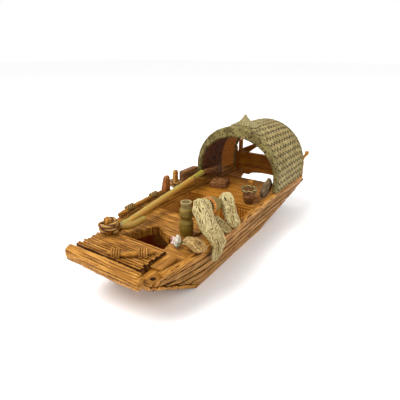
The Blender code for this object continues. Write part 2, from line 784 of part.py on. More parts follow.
def build_stern():
    front = CANOPY_BACK + GAP
    rest = WALL_TOP + GAP
    for label, hand in (("port", 1), ("starboard", -1)):
        sections = []
        for z, outer, start, finish in (
                (rest, WING_FOOT, front, front + WING_FOOT_LENGTH),
                (TRANSOM_TOP + GAP, WING_FOOT, front, front + WING_FOOT_LENGTH),
                (TRANSOM_TOP + 0.0045, WING_FOOT + 0.0012, front + 0.0010, front + 0.0046),
                (WING_TOP - 0.0035, WING_HEAD - 0.0004, front + 0.0026, front + 0.0064),
                (WING_TOP, WING_HEAD, front + 0.0034, front + 0.0058)):
            inner = outer - WING_T
            sections.append([(hand * inner, start, z), (hand * outer, start, z),
                             (hand * outer, finish, z), (hand * inner, finish, z)])
        loft(f"stern_wing_{label}", sections)
    middle = STERN - TRANSOM_AFT
    low_half = wall_inside(middle + TRANSOM_T, TRANSOM_BOTTOM, 1) - 3 * GAP
    half = TRANSOM_HALF
    outline = [(-low_half, TRANSOM_BOTTOM), (-low_half, rest), (-half, rest), (-half, TRANSOM_TOP),
               (half, TRANSOM_TOP), (half, rest), (low_half, rest), (low_half, TRANSOM_BOTTOM)]
    outline += arc_points((0.0, TRANSOM_BOTTOM), 0.55 * half, TRANSOM_ARCH, 0, 180, 11)
    sections = [[(x, y, z) for x, z in outline] for y in (middle - TRANSOM_T / 2, middle + TRANSOM_T / 2)]
    board = loft("transom_board", sections)
    post_x = -half + 0.0050

    def upright(name, half_side, low, high, **finish):
        return box(name, (post_x - half_side, middle - half_side, low),
                   (post_x + half_side, middle + half_side, high), **finish)

    cut(board, upright("post_socket", TENON_HALF + FIT, TRANSOM_TOP - TENON_DEPTH - FIT, TRANSOM_TOP + 0.01,
                       cutter=True))
    post = upright("stern_post", POST_HALF, TRANSOM_TOP + GAP, WING_TOP + 0.0030, edge=0.0004)
    tenon = upright("post_tenon", TENON_HALF, TRANSOM_TOP - TENON_DEPTH, TRANSOM_TOP + 0.0030, cutter=True)
    boolean(post, tenon, "UNION")
    foot = Vector((-half + 0.0078, TRANSOM_TOP + GAP))
    head = Vector((-half + 0.0245, WING_TOP + 0.0010))
    across = Vector((head.y - foot.y, foot.x - head.x)).normalized() * BRACE_W
    lift = 0.0040
    brace = [(foot.x, foot.y), (foot.x + 0.0085, foot.y), (head.x + across.x, head.y + across.y),
             (head.x, head.y), (foot.x, foot.y + lift)]
    sections = [[(x, y, z) for x, z in brace] for y in (middle - BRACE_T / 2, middle + BRACE_T / 2)]
    loft("stern_brace", sections)


# ---- Starboard gear ---------------------------------------------------------------------------

def helix(centre, radius_x, radius_y, turns, rise, steps):
    points = []
    for i in range(int(turns * steps) + 1):
        a = 2 * math.pi * i / steps
        points.append((centre[0] + radius_x * math.cos(a), centre[1] + radius_y * math.sin(a),
                       centre[2] + rise * i / steps))
    return points


BOLLARD_ROPE_R = 0.0015
THIN_ROPE_R = 0.0010


def build_bollard(foredeck):
    x, y = -FOREDECK_HALF + 0.0082, FOREDECK_END - 0.0050
    base = FOREDECK_TOP + GAP
    top = base + BOLLARD_HEIGHT
    tenon_r, tenon_depth = BOLLARD_R - 0.0012, 0.0040
    profile = [(0.0, top), (0.0014, top - 0.0003), (BOLLARD_R - 0.0004, top - 0.0014),
               (BOLLARD_R, top - 0.0032), (BOLLARD_R - 0.0002, base), (tenon_r, base),
               (tenon_r, base - tenon_depth), (0.0, base - tenon_depth)]
    turned("bollard", profile, (x, y, 0.0), WOOD, steps=16)
    cut(foredeck, drill("bollard_socket", x, y, base + 0.002, base - tenon_depth - FIT, tenon_r + FIT))
    reach = BOLLARD_R + 0.0024
    coil = helix((x, y, base + 0.0018), reach, reach, 2.4, 0.0032, 14)
    tube("bollard_rope", coil, BOLLARD_ROPE_R, ROPE)


def pole_line():
    """The bamboo pole's middle: from its butt in the cabin to the crook over the hatch."""
    butt = Vector((-CANOPY_HALF + 0.0080, CANOPY_FRONT - 0.0030, 0.0490))
    bend = Vector((-0.0190, GEAR - 0.0012, FOREDECK_TOP + GAP + POLE_R + 0.0006))
    hook = Vector((-0.0124, GEAR + 0.0150, bend.z + 0.0004))
    return butt, bend, hook


def build_bamboo_pole():
    butt, bend, hook = pole_line()
    joint_count = 5
    points, radii = [], []
    for i in range(joint_count):
        for t, size in ((0.0, 1.10), (0.06, 0.97), (0.94, 0.97)):
            points.append(butt.lerp(bend + Vector((0.0, 0.004, 0.0)), (i + t) / joint_count))
            radii.append(size)
    side_step = Vector((0.0024, -0.0018, 0.0))
    points += [bend, bend + side_step, bend + Vector((0.0050, 0.0010, 0.0))]
    radii += [1.10, 1.12, 1.0]
    start = bend + Vector((0.0062, 0.0042, 0.0))
    for t, size in ((0.0, 0.92), (0.5, 0.88), (0.93, 0.90), (1.0, 0.72)):
        points.append(start.lerp(hook, t))
        radii.append(size)
    tube("bamboo_pole", points, POLE_R, BAMBOO, radii, resolution=3)


def rail_middle(y):
    """Across-boat position of the starboard rail's middle."""
    return RAIL_INSET / 2 - half_beam(y, -1)


def build_spar():
    """A thin spar on the starboard rail, with its two lashings."""
    rest = RAIL_TOP + GAP + SPAR_R
    start, finish = BOW + 0.0520, CABIN_FRONT - 0.0360
    run = spread(start, finish, 12)
    points = [(rail_middle(y), y, rest) for y in run]
    radii = [1.0 + (0.14 if i % 4 == 1 else 0.0) for i in range(len(run))]
    tube("spar", points, SPAR_R, BAMBOO, radii)
    for label, share in (("fore", 0.24), ("aft", 0.78)):
        y = start + share * (finish - start)
        middle = (rail_middle(y), y, rest)
        ahead = Vector((rail_middle(y + 0.004) - rail_middle(y), 0.004, 0.0)).normalized()
        points = lashing(middle, ahead, SPAR_R * 1.14, LASHING_R, RAIL_TOP + GAP)
        tube(f"spar_lashing_{label}", points, LASHING_R, ROPE)


def build_starboard_gear():
    rest = RAIL_TOP + GAP
    wedge_y = CABIN_FRONT - 0.0315
    wx, wy, wz = WEDGE_SIZE
    x = rail_middle(wedge_y)
    lean = 0.0022
    sections = []
    for s, size in ((0.0, 1.0), (0.85, 0.72), (1.0, 0.5)):
        z, centre = rest + wz * s, wedge_y + lean * s
        dx, dy = wx / 2 * (0.9 if s == 1.0 else 1.0) * size, wy / 2 * size
        sections.append([(x - dx, centre - dy, z), (x + dx, centre - dy, z),
                         (x + dx, centre + dy, z), (x - dx, centre + dy, z)])
    loft("wedge_block", sections, DARK_WOOD)
    post_y = CABIN_FRONT - 0.0165
    x = rail_middle(post_y)
    h = POST_SIDE / 2
    top = rest + 0.0175
    post_sections = []
    for z, size, shift in ((rest, 1.0, 0.0), (top - 0.002, 0.86, 0.0012), (top, 0.5, 0.0014)):
        post_sections.append([(x + a * h * size, post_y + shift + b * h * size, z)
                              for a, b in ((-1, -1), (1, -1), (1, 1), (-1, 1))])
    loft("mooring_post", post_sections)
    reach = h * math.sqrt(2) + THIN_ROPE_R + 0.0001 + GAP
    coil = helix((x, post_y + 0.0003, rest + 0.0013), reach, reach, 2.6, 0.0022, 12)
    tube("mooring_rope", coil, THIN_ROPE_R, ROPE)
    cx, cy, cz = CHEST_SIZE
    chest_y = CABIN_FRONT + 0.0065
    x = rail_middle(chest_y) - 0.0009
    box("tackle_chest", (x - cx / 2, chest_y - cy / 2, rest), (x + cx / 2, chest_y + cy / 2, rest + cz),
        DARK, edge=0.0008)
    butt = pole_line()[0]
    sections = []
    start = butt + Vector((0.0006, 0.0016, -0.0002))
    finish = Vector((-CANOPY_HALF + 0.0110, CANOPY_FRONT + 0.0290, 0.0450))
    for t, high, deep in ((0.0, 0.0042, 0.0042), (0.12, 0.0066, 0.0050), (0.5, 0.0100, 0.0056),
                          (0.85, 0.0130, 0.0052), (1.0, 0.0128, 0.0040)):
        at = start.lerp(finish, t)
        sections.append([(at.x + a, at.y, at.z + b)
                         for a, b in arc_points((0.0, 0.0), deep / 2, high / 2, 0, 324, 10)])
    loft("broom_bundle", sections, DARK)


def build_stool():
    w, d, h = STOOL_SIZE
    x, y, rest = -0.0215, CABIN_FRONT + 0.0300, CABIN_DECK_TOP + GAP
    stool = box("stool", (x - w / 2, y - d / 2, rest), (x + w / 2, y + d / 2, rest + h), DARK,
                edge=0.0006, turn=math.radians(18))
    notch = box("stool_notch", (x - 0.002, y - 0.002, rest + h - 0.0012),
                (x + 0.002, y + 0.002, rest + h + 0.01), turn=math.radians(60), cutter=True)
    return cut(stool, notch)


# ---- Port gear --------------------------------------------------------------------------------

def build_creel():
    x, y, rest = 0.0190, GEAR + 0.0262, MID_DECK_TOP + MAT_T + 2 * GAP
    r, h = CREEL_R, CREEL_HEIGHT
    wall = 0.0011
    outer = [(0.80 * r, h), (0.76 * r, h - 0.0020), (0.68 * r, h - 0.0040), (0.92 * r, h - 0.0065),
             (0.98 * r, h - 0.0105), (0.80 * r, h - 0.0135), (1.00 * r, h - 0.0165), (r, 0.0060),
             (0.90 * r, 0.0), (0.0, 0.0)]
    inner = [(0.0, h - 0.0085), (0.50 * r, h - 0.0085), (0.68 * r - wall, h - 0.0045),
             (0.80 * r - wall, h - 0.0010), (0.80 * r - wall, h)]
    return turned("creel", inner + outer, (x, y, rest), BAMBOO, steps=18)


def drape(name, spine, colour, sides=10):
    """A soft heap or hank: elliptical sections (centre, half width along the boat, half depth)."""
    sections = []
    for k, (centre, wide, deep) in enumerate(spine):
        before, after = spine[max(k - 1, 0)][0], spine[min(k + 1, len(spine) - 1)][0]
        path = (Vector(after) - Vector(before)).normalized()
        along = Vector((0.0, 1.0, 0.0))
        along = (along - path * along.dot(path)).normalized()
        out = along.cross(path)
        sections.append([Vector(centre) + along * wide * math.cos(a) + out * deep * math.sin(a)
                         for a in (2 * math.pi * i / sides for i in range(sides))])
    return loft(name, sections, colour)


NET_START = 0.0195        # the first net's station, behind the gear's first


def build_nets():
    y = GEAR + NET_START
    edge = half_beam(y)
    drape("net_fore", [
        ((edge - 0.0125, y + 0.0005, 0.0712), 0.0034, 0.0024),
        ((edge - 0.0122, y, 0.0694), 0.0068, 0.0046),
        ((edge - 0.0110, y - 0.0004, 0.0645), 0.0084, 0.0058),
        ((edge - 0.0088, y - 0.0002, 0.0570), 0.0078, 0.0052),
        ((edge - 0.0062, y + 0.0008, 0.0506), 0.0076, 0.0042),
        ((edge - 0.0012, y + 0.0006, 0.0464), 0.0076, 0.0032),
        ((edge + 0.0028, y - 0.0008, 0.0405), 0.0078, 0.0015),
        ((edge + 0.0024, y - 0.0028, 0.0340), 0.0070, 0.0014),
        ((edge + 0.0018, y - 0.0042, 0.0292), 0.0038, 0.0009)], NET)
    mid_y = y + 0.0175
    edge = half_beam(mid_y)
    drape("net_middle", [
        ((edge - 0.0098, mid_y - 0.0050, 0.0540), 0.0016, 0.0010),
        ((edge - 0.0092, mid_y - 0.0046, 0.0525), 0.0028, 0.0018),
        ((edge - 0.0078, mid_y - 0.0036, 0.0495), 0.0036, 0.0022),
        ((edge - 0.0050, mid_y - 0.0018, 0.0466), 0.0042, 0.0022),
        ((edge - 0.0012, mid_y - 0.0006, 0.0440), 0.0040, 0.0016),
        ((edge + 0.0012, mid_y, 0.0434), 0.0024, 0.0009)], NET)
    aft_y = y + 0.0325
    edge = half_beam(aft_y)
    drape("net_aft", [
        ((edge - 0.0136, aft_y - 0.0004, 0.0646), 0.0030, 0.0022),
        ((edge - 0.0132, aft_y, 0.0630), 0.0056, 0.0040),
        ((edge - 0.0116, aft_y + 0.0004, 0.0592), 0.0064, 0.0046),
        ((edge - 0.0086, aft_y - 0.0004, 0.0538), 0.0064, 0.0042),
        ((edge - 0.0054, aft_y - 0.0026, 0.0488), 0.0064, 0.0034),
        ((edge - 0.0016, aft_y - 0.0052, 0.0454), 0.0062, 0.0024),
        ((edge + 0.0010, aft_y - 0.0066, 0.0428), 0.0034, 0.0010)], NET)


def build_straw_bundle():
    y = GEAR + 0.0040
    rest = rail_top(y)
    edge = half_beam(y)
    drape("straw_bundle", [
        ((edge - 0.0205, y + 0.0085, 0.0392), 0.0030, 0.0016),
        ((edge - 0.0180, y + 0.0075, 0.0405), 0.0045, 0.0026),
        ((edge - 0.0120, y + 0.0045, rest + 0.0024), 0.0052, 0.0026),
        ((edge - 0.0060, y + 0.0012, rest + 0.0030), 0.0056, 0.0024),
        ((edge - 0.0006, y - 0.0014, rest + 0.0023), 0.0058, 0.0018),
        ((edge + 0.0012, y - 0.0020, rest + 0.0016), 0.0040, 0.0008)], STRAW)


def build_shell_cluster():
    y, rest = GEAR + 0.0095, MID_DECK_TOP + GAP
    x = half_beam(y) - 0.0272
    bm = bmesh.new()
    bmesh.ops.create_uvsphere(bm, u_segments=12, v_segments=7, radius=1.0)
    bmesh.ops.scale(bm, vec=(0.0049, 0.0044, 0.0048), verts=bm.verts)
    for v in bm.verts:
        v.co *= 1 + 0.10 * math.cos(5 * math.atan2(v.co.y, v.co.x))
    obj = place("shell_cluster", mesh_of(bm, "shell_cluster"), NET)
    obj.location = (x, y, rest + 0.0054)
    return obj


def build_lying_basket():
    y = GEAR + 0.0386
    x = half_beam(GEAR + NET_START) - 0.0169
    centre = Vector((x, y, 0.0588))
    axis = Vector((0.02, -0.97, 0.14)).normalized()
    turn = axis.to_track_quat("Z", "Y").to_matrix().to_4x4()
    half, r, wall = 0.0058, 0.0068, 0.0012
    profile = [(0.0, -half + 0.0016), (r - wall - 0.0012, -half + 0.0016), (r - wall, half - 0.0010),
               (r - wall, half), (r + 0.0005, half), (r + 0.0005, half - 0.0022), (r, half - 0.0026),
               (r * 0.98, -half * 0.3), (r * 0.80, -half), (0.0, -half)]
    basket = turned("lying_basket", profile, (0.0, 0.0, 0.0), BAMBOO, steps=18)
    basket.matrix_world = Matrix.Translation(centre) @ turn
    foot = -half + 0.0016 + GAP
    profile = [(0.0, 0.0112), (0.0014, 0.0112), (0.0014, 0.0144), (0.0025, 0.0144), (0.0027, 0.0090),
               (0.0025, foot), (0.0, foot)]
    cup = turned("bamboo_cup", profile, (0.0, 0.0, 0.0), BAMBOO, steps=12)
    cup.matrix_world = Matrix.Translation(centre) @ turn
    stand_top = centre.z - 0.0086
    sections = []
    for z, half_side in ((MID_DECK_TOP + GAP, 0.0040), (stand_top - 0.003, 0.0036), (stand_top, 0.0026)):
        sections.append([(x + a * half_side, y + b * half_side, z)
                         for a, b in ((-1, -1), (1, -1), (1, 1), (-1, 1))])
    loft("basket_stand", sections, DARK_WOOD)


def build_pot_group():
    x, y, rest = half_beam(CABIN_FRONT) - 0.0186, CABIN_FRONT + 0.0022, CABIN_DECK_TOP + GAP
    profile = [(0.0, 0.0122), (0.0026, 0.0122), (0.0031, 0.0142), (0.0039, 0.0142), (0.0036, 0.0122),
               (0.0053, 0.0098), (0.0058, 0.0068), (0.0048, 0.0024), (0.0034, 0.0), (0.0, 0.0)]
    turned("round_pot", profile, (x, y, rest), DARK, steps=16)
    coil = helix((x, y, rest + 0.0114), 0.0062, 0.0062, 1.6, 0.0022, 16)
    tube("pot_rope", coil, THIN_ROPE_R, ROPE)
    post_x, post_y = x - 0.0042, y + 0.0114
    h = POST_SIDE / 2
    box("rope_post", (post_x - h, post_y - h, rest), (post_x + h, post_y + h, rest + 0.0180), edge=0.0005)
    start = Vector((x + 0.0088, CANOPY_FRONT - 0.0125, 0.0432))
    finish = Vector((CANOPY_HALF - 0.0083, CANOPY_FRONT + 0.0060, 0.0494))
    across = (finish - start).cross(Vector((1.0, 0.0, 0.0))).normalized()
    flat = (finish - start).cross(across).normalized()
    sections = []
    for t, wide in ((0.0, 0.0080), (0.15, 0.0124), (0.45, 0.0156), (0.85, 0.0164), (1.0, 0.0110)):
        at = start.lerp(finish, t)
        sections.append([at + flat * a + across * b
                         for a, b in arc_points((0.0, 0.0), 0.0018, wide / 2, 0, 324, 10)])
    loft("paddle_bundle", sections, DARK)


# ---- Assembly ---------------------------------------------------------------------------------

hull_shell = build_hull_shell()
build_bottom()
build_strakes()
port_side_deck = build_side_decks()
drill_stick_hole((hull_shell, port_side_deck))
build_bow_log()
foredeck_piece = build_foredeck()
build_yoke()
build_deck_planks()
build_mid_deck()
build_cabin_floor()
build_straw_mat()
build_canopy()
build_hat()
build_stern()
build_bollard(foredeck_piece)
build_bamboo_pole()
build_spar()
build_starboard_gear()
build_stool()
build_creel()
build_nets()
build_straw_bundle()
build_shell_cluster()
build_lying_basket()
build_pot_group()
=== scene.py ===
"""The looks of a sampan incense burner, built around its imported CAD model.

Metres. The bow points along -Y, port is +X, and the origin is on the flat of the bottom board. The real
object is one cast resin piece painted by hand: ochre timber with a dark wash in its cuts, and khaki straw.
"""

import math

import bmesh
import bpy
from mathutils import Matrix, Vector, noise


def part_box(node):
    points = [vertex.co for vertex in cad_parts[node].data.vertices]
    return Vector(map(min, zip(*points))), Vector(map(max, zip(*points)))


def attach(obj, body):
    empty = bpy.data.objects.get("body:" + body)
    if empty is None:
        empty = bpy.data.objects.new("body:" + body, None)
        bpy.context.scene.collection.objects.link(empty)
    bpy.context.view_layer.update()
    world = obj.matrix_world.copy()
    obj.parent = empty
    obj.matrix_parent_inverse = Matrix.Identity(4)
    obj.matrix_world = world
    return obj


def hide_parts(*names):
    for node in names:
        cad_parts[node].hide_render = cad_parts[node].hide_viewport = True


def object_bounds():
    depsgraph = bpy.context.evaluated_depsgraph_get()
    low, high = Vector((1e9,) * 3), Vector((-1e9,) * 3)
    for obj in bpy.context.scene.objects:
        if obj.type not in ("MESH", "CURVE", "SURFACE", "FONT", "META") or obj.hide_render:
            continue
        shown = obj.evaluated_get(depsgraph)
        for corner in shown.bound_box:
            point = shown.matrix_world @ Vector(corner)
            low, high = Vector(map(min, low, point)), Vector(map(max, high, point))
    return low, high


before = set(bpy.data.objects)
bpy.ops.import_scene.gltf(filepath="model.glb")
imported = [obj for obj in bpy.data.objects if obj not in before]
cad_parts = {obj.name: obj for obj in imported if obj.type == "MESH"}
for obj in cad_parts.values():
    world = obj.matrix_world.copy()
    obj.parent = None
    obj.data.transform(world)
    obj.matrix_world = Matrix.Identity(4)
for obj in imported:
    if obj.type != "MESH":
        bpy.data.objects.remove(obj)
cad_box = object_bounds()
MM = 0.001
X, Y, Z = Vector((1, 0, 0)), Vector((0, 1, 0)), Vector((0, 0, 1))


# ---- Studio -----------------------------------------------------------------------------------

def set_camera():
    data = bpy.data.cameras.new("camera")
    data.lens, data.sensor_width = 33.80, 36.0
    data.clip_start, data.clip_end = 0.01, 20.0
    camera = bpy.data.objects.new("camera", data)
    bpy.context.scene.collection.objects.link(camera)
    turn, rise = math.radians(34.856), math.radians(21.58)
    back = Vector((math.sin(turn) * math.cos(rise), -math.cos(turn) * math.cos(rise), math.sin(rise)))
    camera.location = (0.17356, -0.27206, 0.16500)
    camera.rotation_euler = (-back).to_track_quat("-Z", "Y").to_euler()
    bpy.context.scene.camera = camera


def add_lamp(name, place, aim, size, power):
    data = bpy.data.lights.new(name, "AREA")
    data.shape = "DISK"
    data.size, data.energy = size, power
    lamp = bpy.data.objects.new(name, data)
    bpy.context.scene.collection.objects.link(lamp)
    lamp.location = place
    lamp.rotation_euler = (Vector(aim) - Vector(place)).to_track_quat("-Z", "Y").to_euler()


def set_studio():
    bm = bmesh.new()
    bmesh.ops.create_grid(bm, x_segments=1, y_segments=1, size=6.0)
    bmesh.ops.translate(bm, verts=bm.verts, vec=(0, 0, cad_box[0].z - 0.0002))
    mesh = bpy.data.meshes.new("floor")
    bm.to_mesh(mesh)
    floor = bpy.data.objects.new("floor", mesh)
    bpy.context.scene.collection.objects.link(floor)
    pale = bpy.data.materials.new("pale_floor")
    pale.use_nodes = True
    shader = pale.node_tree.nodes["Principled BSDF"]
    shader.inputs["Base Color"].default_value = (0.97, 0.97, 0.97, 1)
    shader.inputs["Roughness"].default_value = 0.9
    shader.inputs["Specular IOR Level"].default_value = 0.1
    mesh.materials.append(pale)
    world = bpy.data.worlds.new("soft_room")
    world.use_nodes = True
    world.node_tree.nodes["Background"].inputs["Color"].default_value = (1, 1, 1, 1)
    world.node_tree.nodes["Background"].inputs["Strength"].default_value = 1.0
    bpy.context.scene.world = world
    bpy.context.scene.view_settings.view_transform = "Standard"
    add_lamp("key", (-0.30, -0.55, 1.00), (0, 0, 0.03), 0.75, 11.0)
    add_lamp("fill", (0.95, -0.25, 0.60), (0, 0, 0.03), 0.80, 2.6)


# ---- Paint ------------------------------------------------------------------------------------

class Signal:
    """A shader socket that takes part in sums, so that a pattern reads as a formula."""

    def __init__(self, paint, socket):
        self.paint, self.socket = paint, socket

    def _sum(self, operation, first, second):
        return self.paint.node("ShaderNodeMath", {"operation": operation}, {0: first, 1: second})

    def __add__(self, other):
        return self._sum("ADD", self, other)

    __radd__ = __add__

    def __sub__(self, other):
        return self._sum("SUBTRACT", self, other)

    def __rsub__(self, other):
        return self._sum("SUBTRACT", other, self)

    def __mul__(self, other):
        return self._sum("MULTIPLY", self, other)

    __rmul__ = __mul__

    def __pow__(self, other):
        return self._sum("POWER", self, other)


class Paint:
    """A hand-painted finish."""

    def __init__(self, name):
        self.made = bpy.data.materials.new(name)
        self.made.use_nodes = True
        self.tree = self.made.node_tree
        self.shader = self.tree.nodes["Principled BSDF"]

    def node(self, kind, settings=None, sockets=None, out=0):
        """Adds one node: its settings first, then the values or links of its sockets."""
        made = self.tree.nodes.new(kind)
        for key, value in (settings or {}).items():
            if key == "stops":
                for spare in range(len(value) - 2):
                    made.color_ramp.elements.new(0.5)
                for element, (at, level) in zip(made.color_ramp.elements, value):
                    element.position = at
                    element.color = (level, level, level, 1)
            else:
                setattr(made, key, value)
        for key, value in (sockets or {}).items():
            self.feed(made.inputs[key], value)
        return Signal(self, made.outputs[out])

    def feed(self, socket, value):
        if isinstance(value, Signal):
            self.tree.links.new(value.socket, socket)
        else:
            socket.default_value = value

    def place(self, stretch=(1, 1, 1)):
        """Object coordinates in millimetres, divided by the size of the pattern along each axis."""
        spot = self.node("ShaderNodeTexCoord", out=3)
        scale = tuple(1 / (size * MM) for size in stretch)
        return self.node("ShaderNodeMapping", {"vector_type": "POINT"}, {"Vector": spot, "Scale": scale})

    def mottle(self, stretch, detail=3.0, rough=0.6):
        """Soft noise, 0 to 1, as large as stretch in millimetres."""
        return self.node("ShaderNodeTexNoise", {"noise_dimensions": "3D"},
                         {"Vector": self.place(stretch), "Scale": 1.0, "Detail": detail, "Roughness": rough})

    def step(self, value, low, high):
        """0 below low, 1 above high, and a smooth slope between."""
        return self.node("ShaderNodeMapRange", {"interpolation_type": "SMOOTHSTEP", "clamp": True},
                         {"Value": value, "From Min": low, "From Max": high, "To Min": 0.0, "To Max": 1.0})

    def carried(self, name):
        """A number that the mesh carries at each of its points."""
        return self.node("ShaderNodeAttribute", {"attribute_type": "GEOMETRY", "attribute_name": name}, out=2)

    def blend(self, under, over, share):
        colours = [(*c, 1) if isinstance(c, tuple) else c for c in (under, over)]
        return self.node("ShaderNodeMix", {"data_type": "RGBA", "clamp_factor": True},
                         {0: share, 6: colours[0], 7: colours[1]}, out=2)

    def axis(self, index):
        spot = self.node("ShaderNodeTexCoord", out=3)
        return self.node("ShaderNodeSeparateXYZ", {}, {"Vector": spot}, out=index)

    def finish(self, colour, roughness, height=None, depth=0.1, strength=0.6, gloss=0.16):
        self.feed(self.shader.inputs["Base Color"], colour)
        self.feed(self.shader.inputs["Roughness"], roughness)
        self.shader.inputs["Specular IOR Level"].default_value = gloss
        if height is not None:
            bump = self.node("ShaderNodeBump", {}, {"Strength": strength, "Distance": depth * MM, "Height": height})
            self.feed(self.shader.inputs["Normal"], bump)
        return self.made


def grained(name, along, light, body, wash, fine=0.55, length=14.0, streak=0.55, roughness=0.5):
    """Painted timber: grain lines along an axis, a dark wash in the cuts and dry-brushed crests."""
    paint = Paint(name)
    sizes = [fine, fine, fine]
    sizes[along] = length
    broad = [size * 5 for size in sizes]
    broad[along] = length * 1.4
    grain = paint.mottle(tuple(sizes), 4.0, 0.62)
    patches = paint.mottle(tuple(broad), 2.0)
    cut = paint.carried("crease")
    tint = paint.carried("tone")
    crest = paint.step(patches + tint * 0.35 + grain * 0.35 - cut * 0.9, 0.42, 0.95)
    colour = paint.blend(body, light, crest)
    lines = paint.step(1 - grain, 0.50, 0.66) * streak
    dark = paint.step(cut * 1.35 + lines - patches * 0.25, 0.02, 0.85)
    colour = paint.blend(colour, wash, dark * 0.96)
    return paint.finish(colour, roughness + dark * 0.2 - crest * 0.08, grain - cut * 0.4, 0.12, 0.55)


LIGHT, BODY, WASH = (0.49, 0.225, 0.036), (0.275, 0.108, 0.010), (0.045, 0.011, 0.0015)
TIMBER = [grained(f"timber_{letter}", axis, LIGHT, BODY, WASH) for axis, letter in enumerate("xyz")]
CABIN_TIMBER = [grained(f"cabin_timber_{letter}", axis, (0.45, 0.190, 0.022), (0.28, 0.100, 0.008),
                        (0.085, 0.020, 0.002), streak=0.35) for axis, letter in enumerate("xyz")]
SIDES = grained("side_timber", 1, (0.52, 0.265, 0.070), (0.290, 0.122, 0.015), (0.034, 0.010, 0.0015), streak=0.6)
BROWN = grained("brown_timber", 1, (0.30, 0.135, 0.042), (0.130, 0.046, 0.012), (0.028, 0.009, 0.004), length=4.0)
LEAF = grained("leaf_bundle", 1, (0.27, 0.185, 0.095), (0.120, 0.075, 0.034), (0.03, 0.015, 0.007), length=8.0)
RED_BROWN = grained("red_brown_timber", 2, (0.40, 0.16, 0.035), (0.21, 0.060, 0.010), (0.06, 0.015, 0.004), length=6.0)


def straw_paint(name, light, body, wash, size=0.9, roughness=0.68):
    """Khaki straw or net: mottled, with a dark wash wherever the mesh is cut."""
    paint = Paint(name)
    speckle = paint.mottle((size, size, size), 3.0, 0.7)
    patches = paint.mottle((7, 7, 7), 2.0)
    cut = paint.carried("crease")
    tint = paint.carried("tone")
    colour = paint.blend(body, light, paint.step(speckle + patches * 0.5 + tint * 0.5 - cut * 0.6, 0.45, 1.05))
    dark = paint.step(cut - speckle * 0.35, 0.10, 0.80)
    colour = paint.blend(colour, wash, dark)
    return paint.finish(colour, roughness, speckle, 0.10, 0.5, 0.25)


WEAVE = straw_paint("woven_straw", (0.335, 0.262, 0.100), (0.185, 0.130, 0.038), (0.014, 0.008, 0.002))
RIM = straw_paint("canopy_rim", (0.215, 0.170, 0.055), (0.095, 0.068, 0.016), (0.020, 0.011, 0.003), 1.1)
HAT = straw_paint("hat_straw", (0.32, 0.265, 0.115), (0.195, 0.150, 0.055), (0.022, 0.013, 0.003), 0.8)
NET = straw_paint("fishing_net", (0.52, 0.43, 0.205), (0.27, 0.190, 0.062), (0.026, 0.012, 0.002), 0.6)
NET_SHADE = straw_paint("net_in_shade", (0.34, 0.26, 0.105), (0.19, 0.130, 0.036), (0.035, 0.016, 0.003), 0.7)
ROPE = straw_paint("rope", (0.46, 0.27, 0.085), (0.27, 0.120, 0.025), (0.055, 0.017, 0.004), 0.5)
KNOT = straw_paint("stick_lashing", (0.46, 0.220, 0.040), (0.260, 0.105, 0.014), (0.045, 0.013, 0.002), 0.5)
LASHING = straw_paint("pole_lashing", (0.33, 0.205, 0.050), (0.165, 0.085, 0.014), (0.030, 0.011, 0.002), 0.5)
BUNDLE = straw_paint("straw_bundle", (0.46, 0.32, 0.13), (0.27, 0.150, 0.038), (0.045, 0.016, 0.004), 0.7)


def bamboo_paint(name, green, gold, dark, wash=(0.05, 0.03, 0.008)):
    """Bamboo: green above and golden below, by the tone that the mesh carries, with dark joints."""
    paint = Paint(name)
    streaks = paint.mottle((1.0, 6.0, 1.0), 3.0)
    patches = paint.mottle((6, 6, 6), 2.0)
    cut = paint.carried("crease")
    tint = paint.carried("tone")
    colour = paint.blend(gold, green, paint.step(tint * 0.5 + patches * 0.8 + streaks * 0.3, 0.35, 0.95))
    colour = paint.blend(colour, dark, paint.step(streaks, 0.58, 0.80) * 0.5)
    colour = paint.blend(colour, wash, paint.step(cut, 0.15, 0.85))
    return paint.finish(colour, 0.42 + streaks * 0.15, streaks, 0.06, 0.5, 0.4)


BAMBOO = bamboo_paint("bamboo_pole", (0.290, 0.235, 0.028), (0.400, 0.190, 0.022), (0.15, 0.100, 0.009))
CROOK = bamboo_paint("bamboo_crook", (0.185, 0.160, 0.014), (0.29, 0.155, 0.017), (0.055, 0.050, 0.006))
CREEL = bamboo_paint("creel_bamboo", (0.23, 0.160, 0.018), (0.165, 0.095, 0.008), (0.07, 0.040, 0.004), (0.028, 0.014, 0.002))
CUP = bamboo_paint("bamboo_cup", (0.18, 0.25, 0.085), (0.25, 0.25, 0.08), (0.09, 0.12, 0.035))


# ---- Mesh helpers -----------------------------------------------------------------------------

def soft_step(low, high, value):
    t = min(1.0, max(0.0, (value - low) / (high - low)))
    return t * t * (3 - 2 * t)


def wobble(point, size, seed=0.0):
    """Smooth noise, -1 to 1, whose bumps are size metres across."""
    return noise.noise(Vector(point) / size + Vector((seed, 1.7 * seed, 0.3 * seed)))


def cut_lines(across, along, pitch, seed, width=0.24):
    """How deep a hand-cut groove is at a place, 0 to 1: the grooves wander, and fade in and out."""
    bent = across / pitch + 0.42 * noise.noise(Vector((along / (14 * pitch), across / (3 * pitch), seed)))
    nearest = round(bent)
    strength = 0.60 + 1.25 * noise.noise(Vector((nearest * 3.7 + seed, along / (13 * pitch), 0.5 + seed)))
    return min(1.0, max(0.0, strength)) * max(0.0, 1 - abs(bent - nearest) / width)


def lines(direction, pitch, seed=1.0, width=0.24):
    """Grooves along a direction, over every face that runs that way."""
    direction = Vector(direction).normalized()
    side = direction.cross(Z).normalized() if abs(direction.z) < 0.9 else X
    other = direction.cross(side)

    def depth(point, normal):
        return cut_lines(point.dot(side) + point.dot(other), point.dot(direction), pitch, seed, width)

    return depth


def pits(size, seed=1.0, low=0.1, high=0.7):
    def depth(point, normal):
        return soft_step(low, high, wobble(point, size, seed))

    return depth


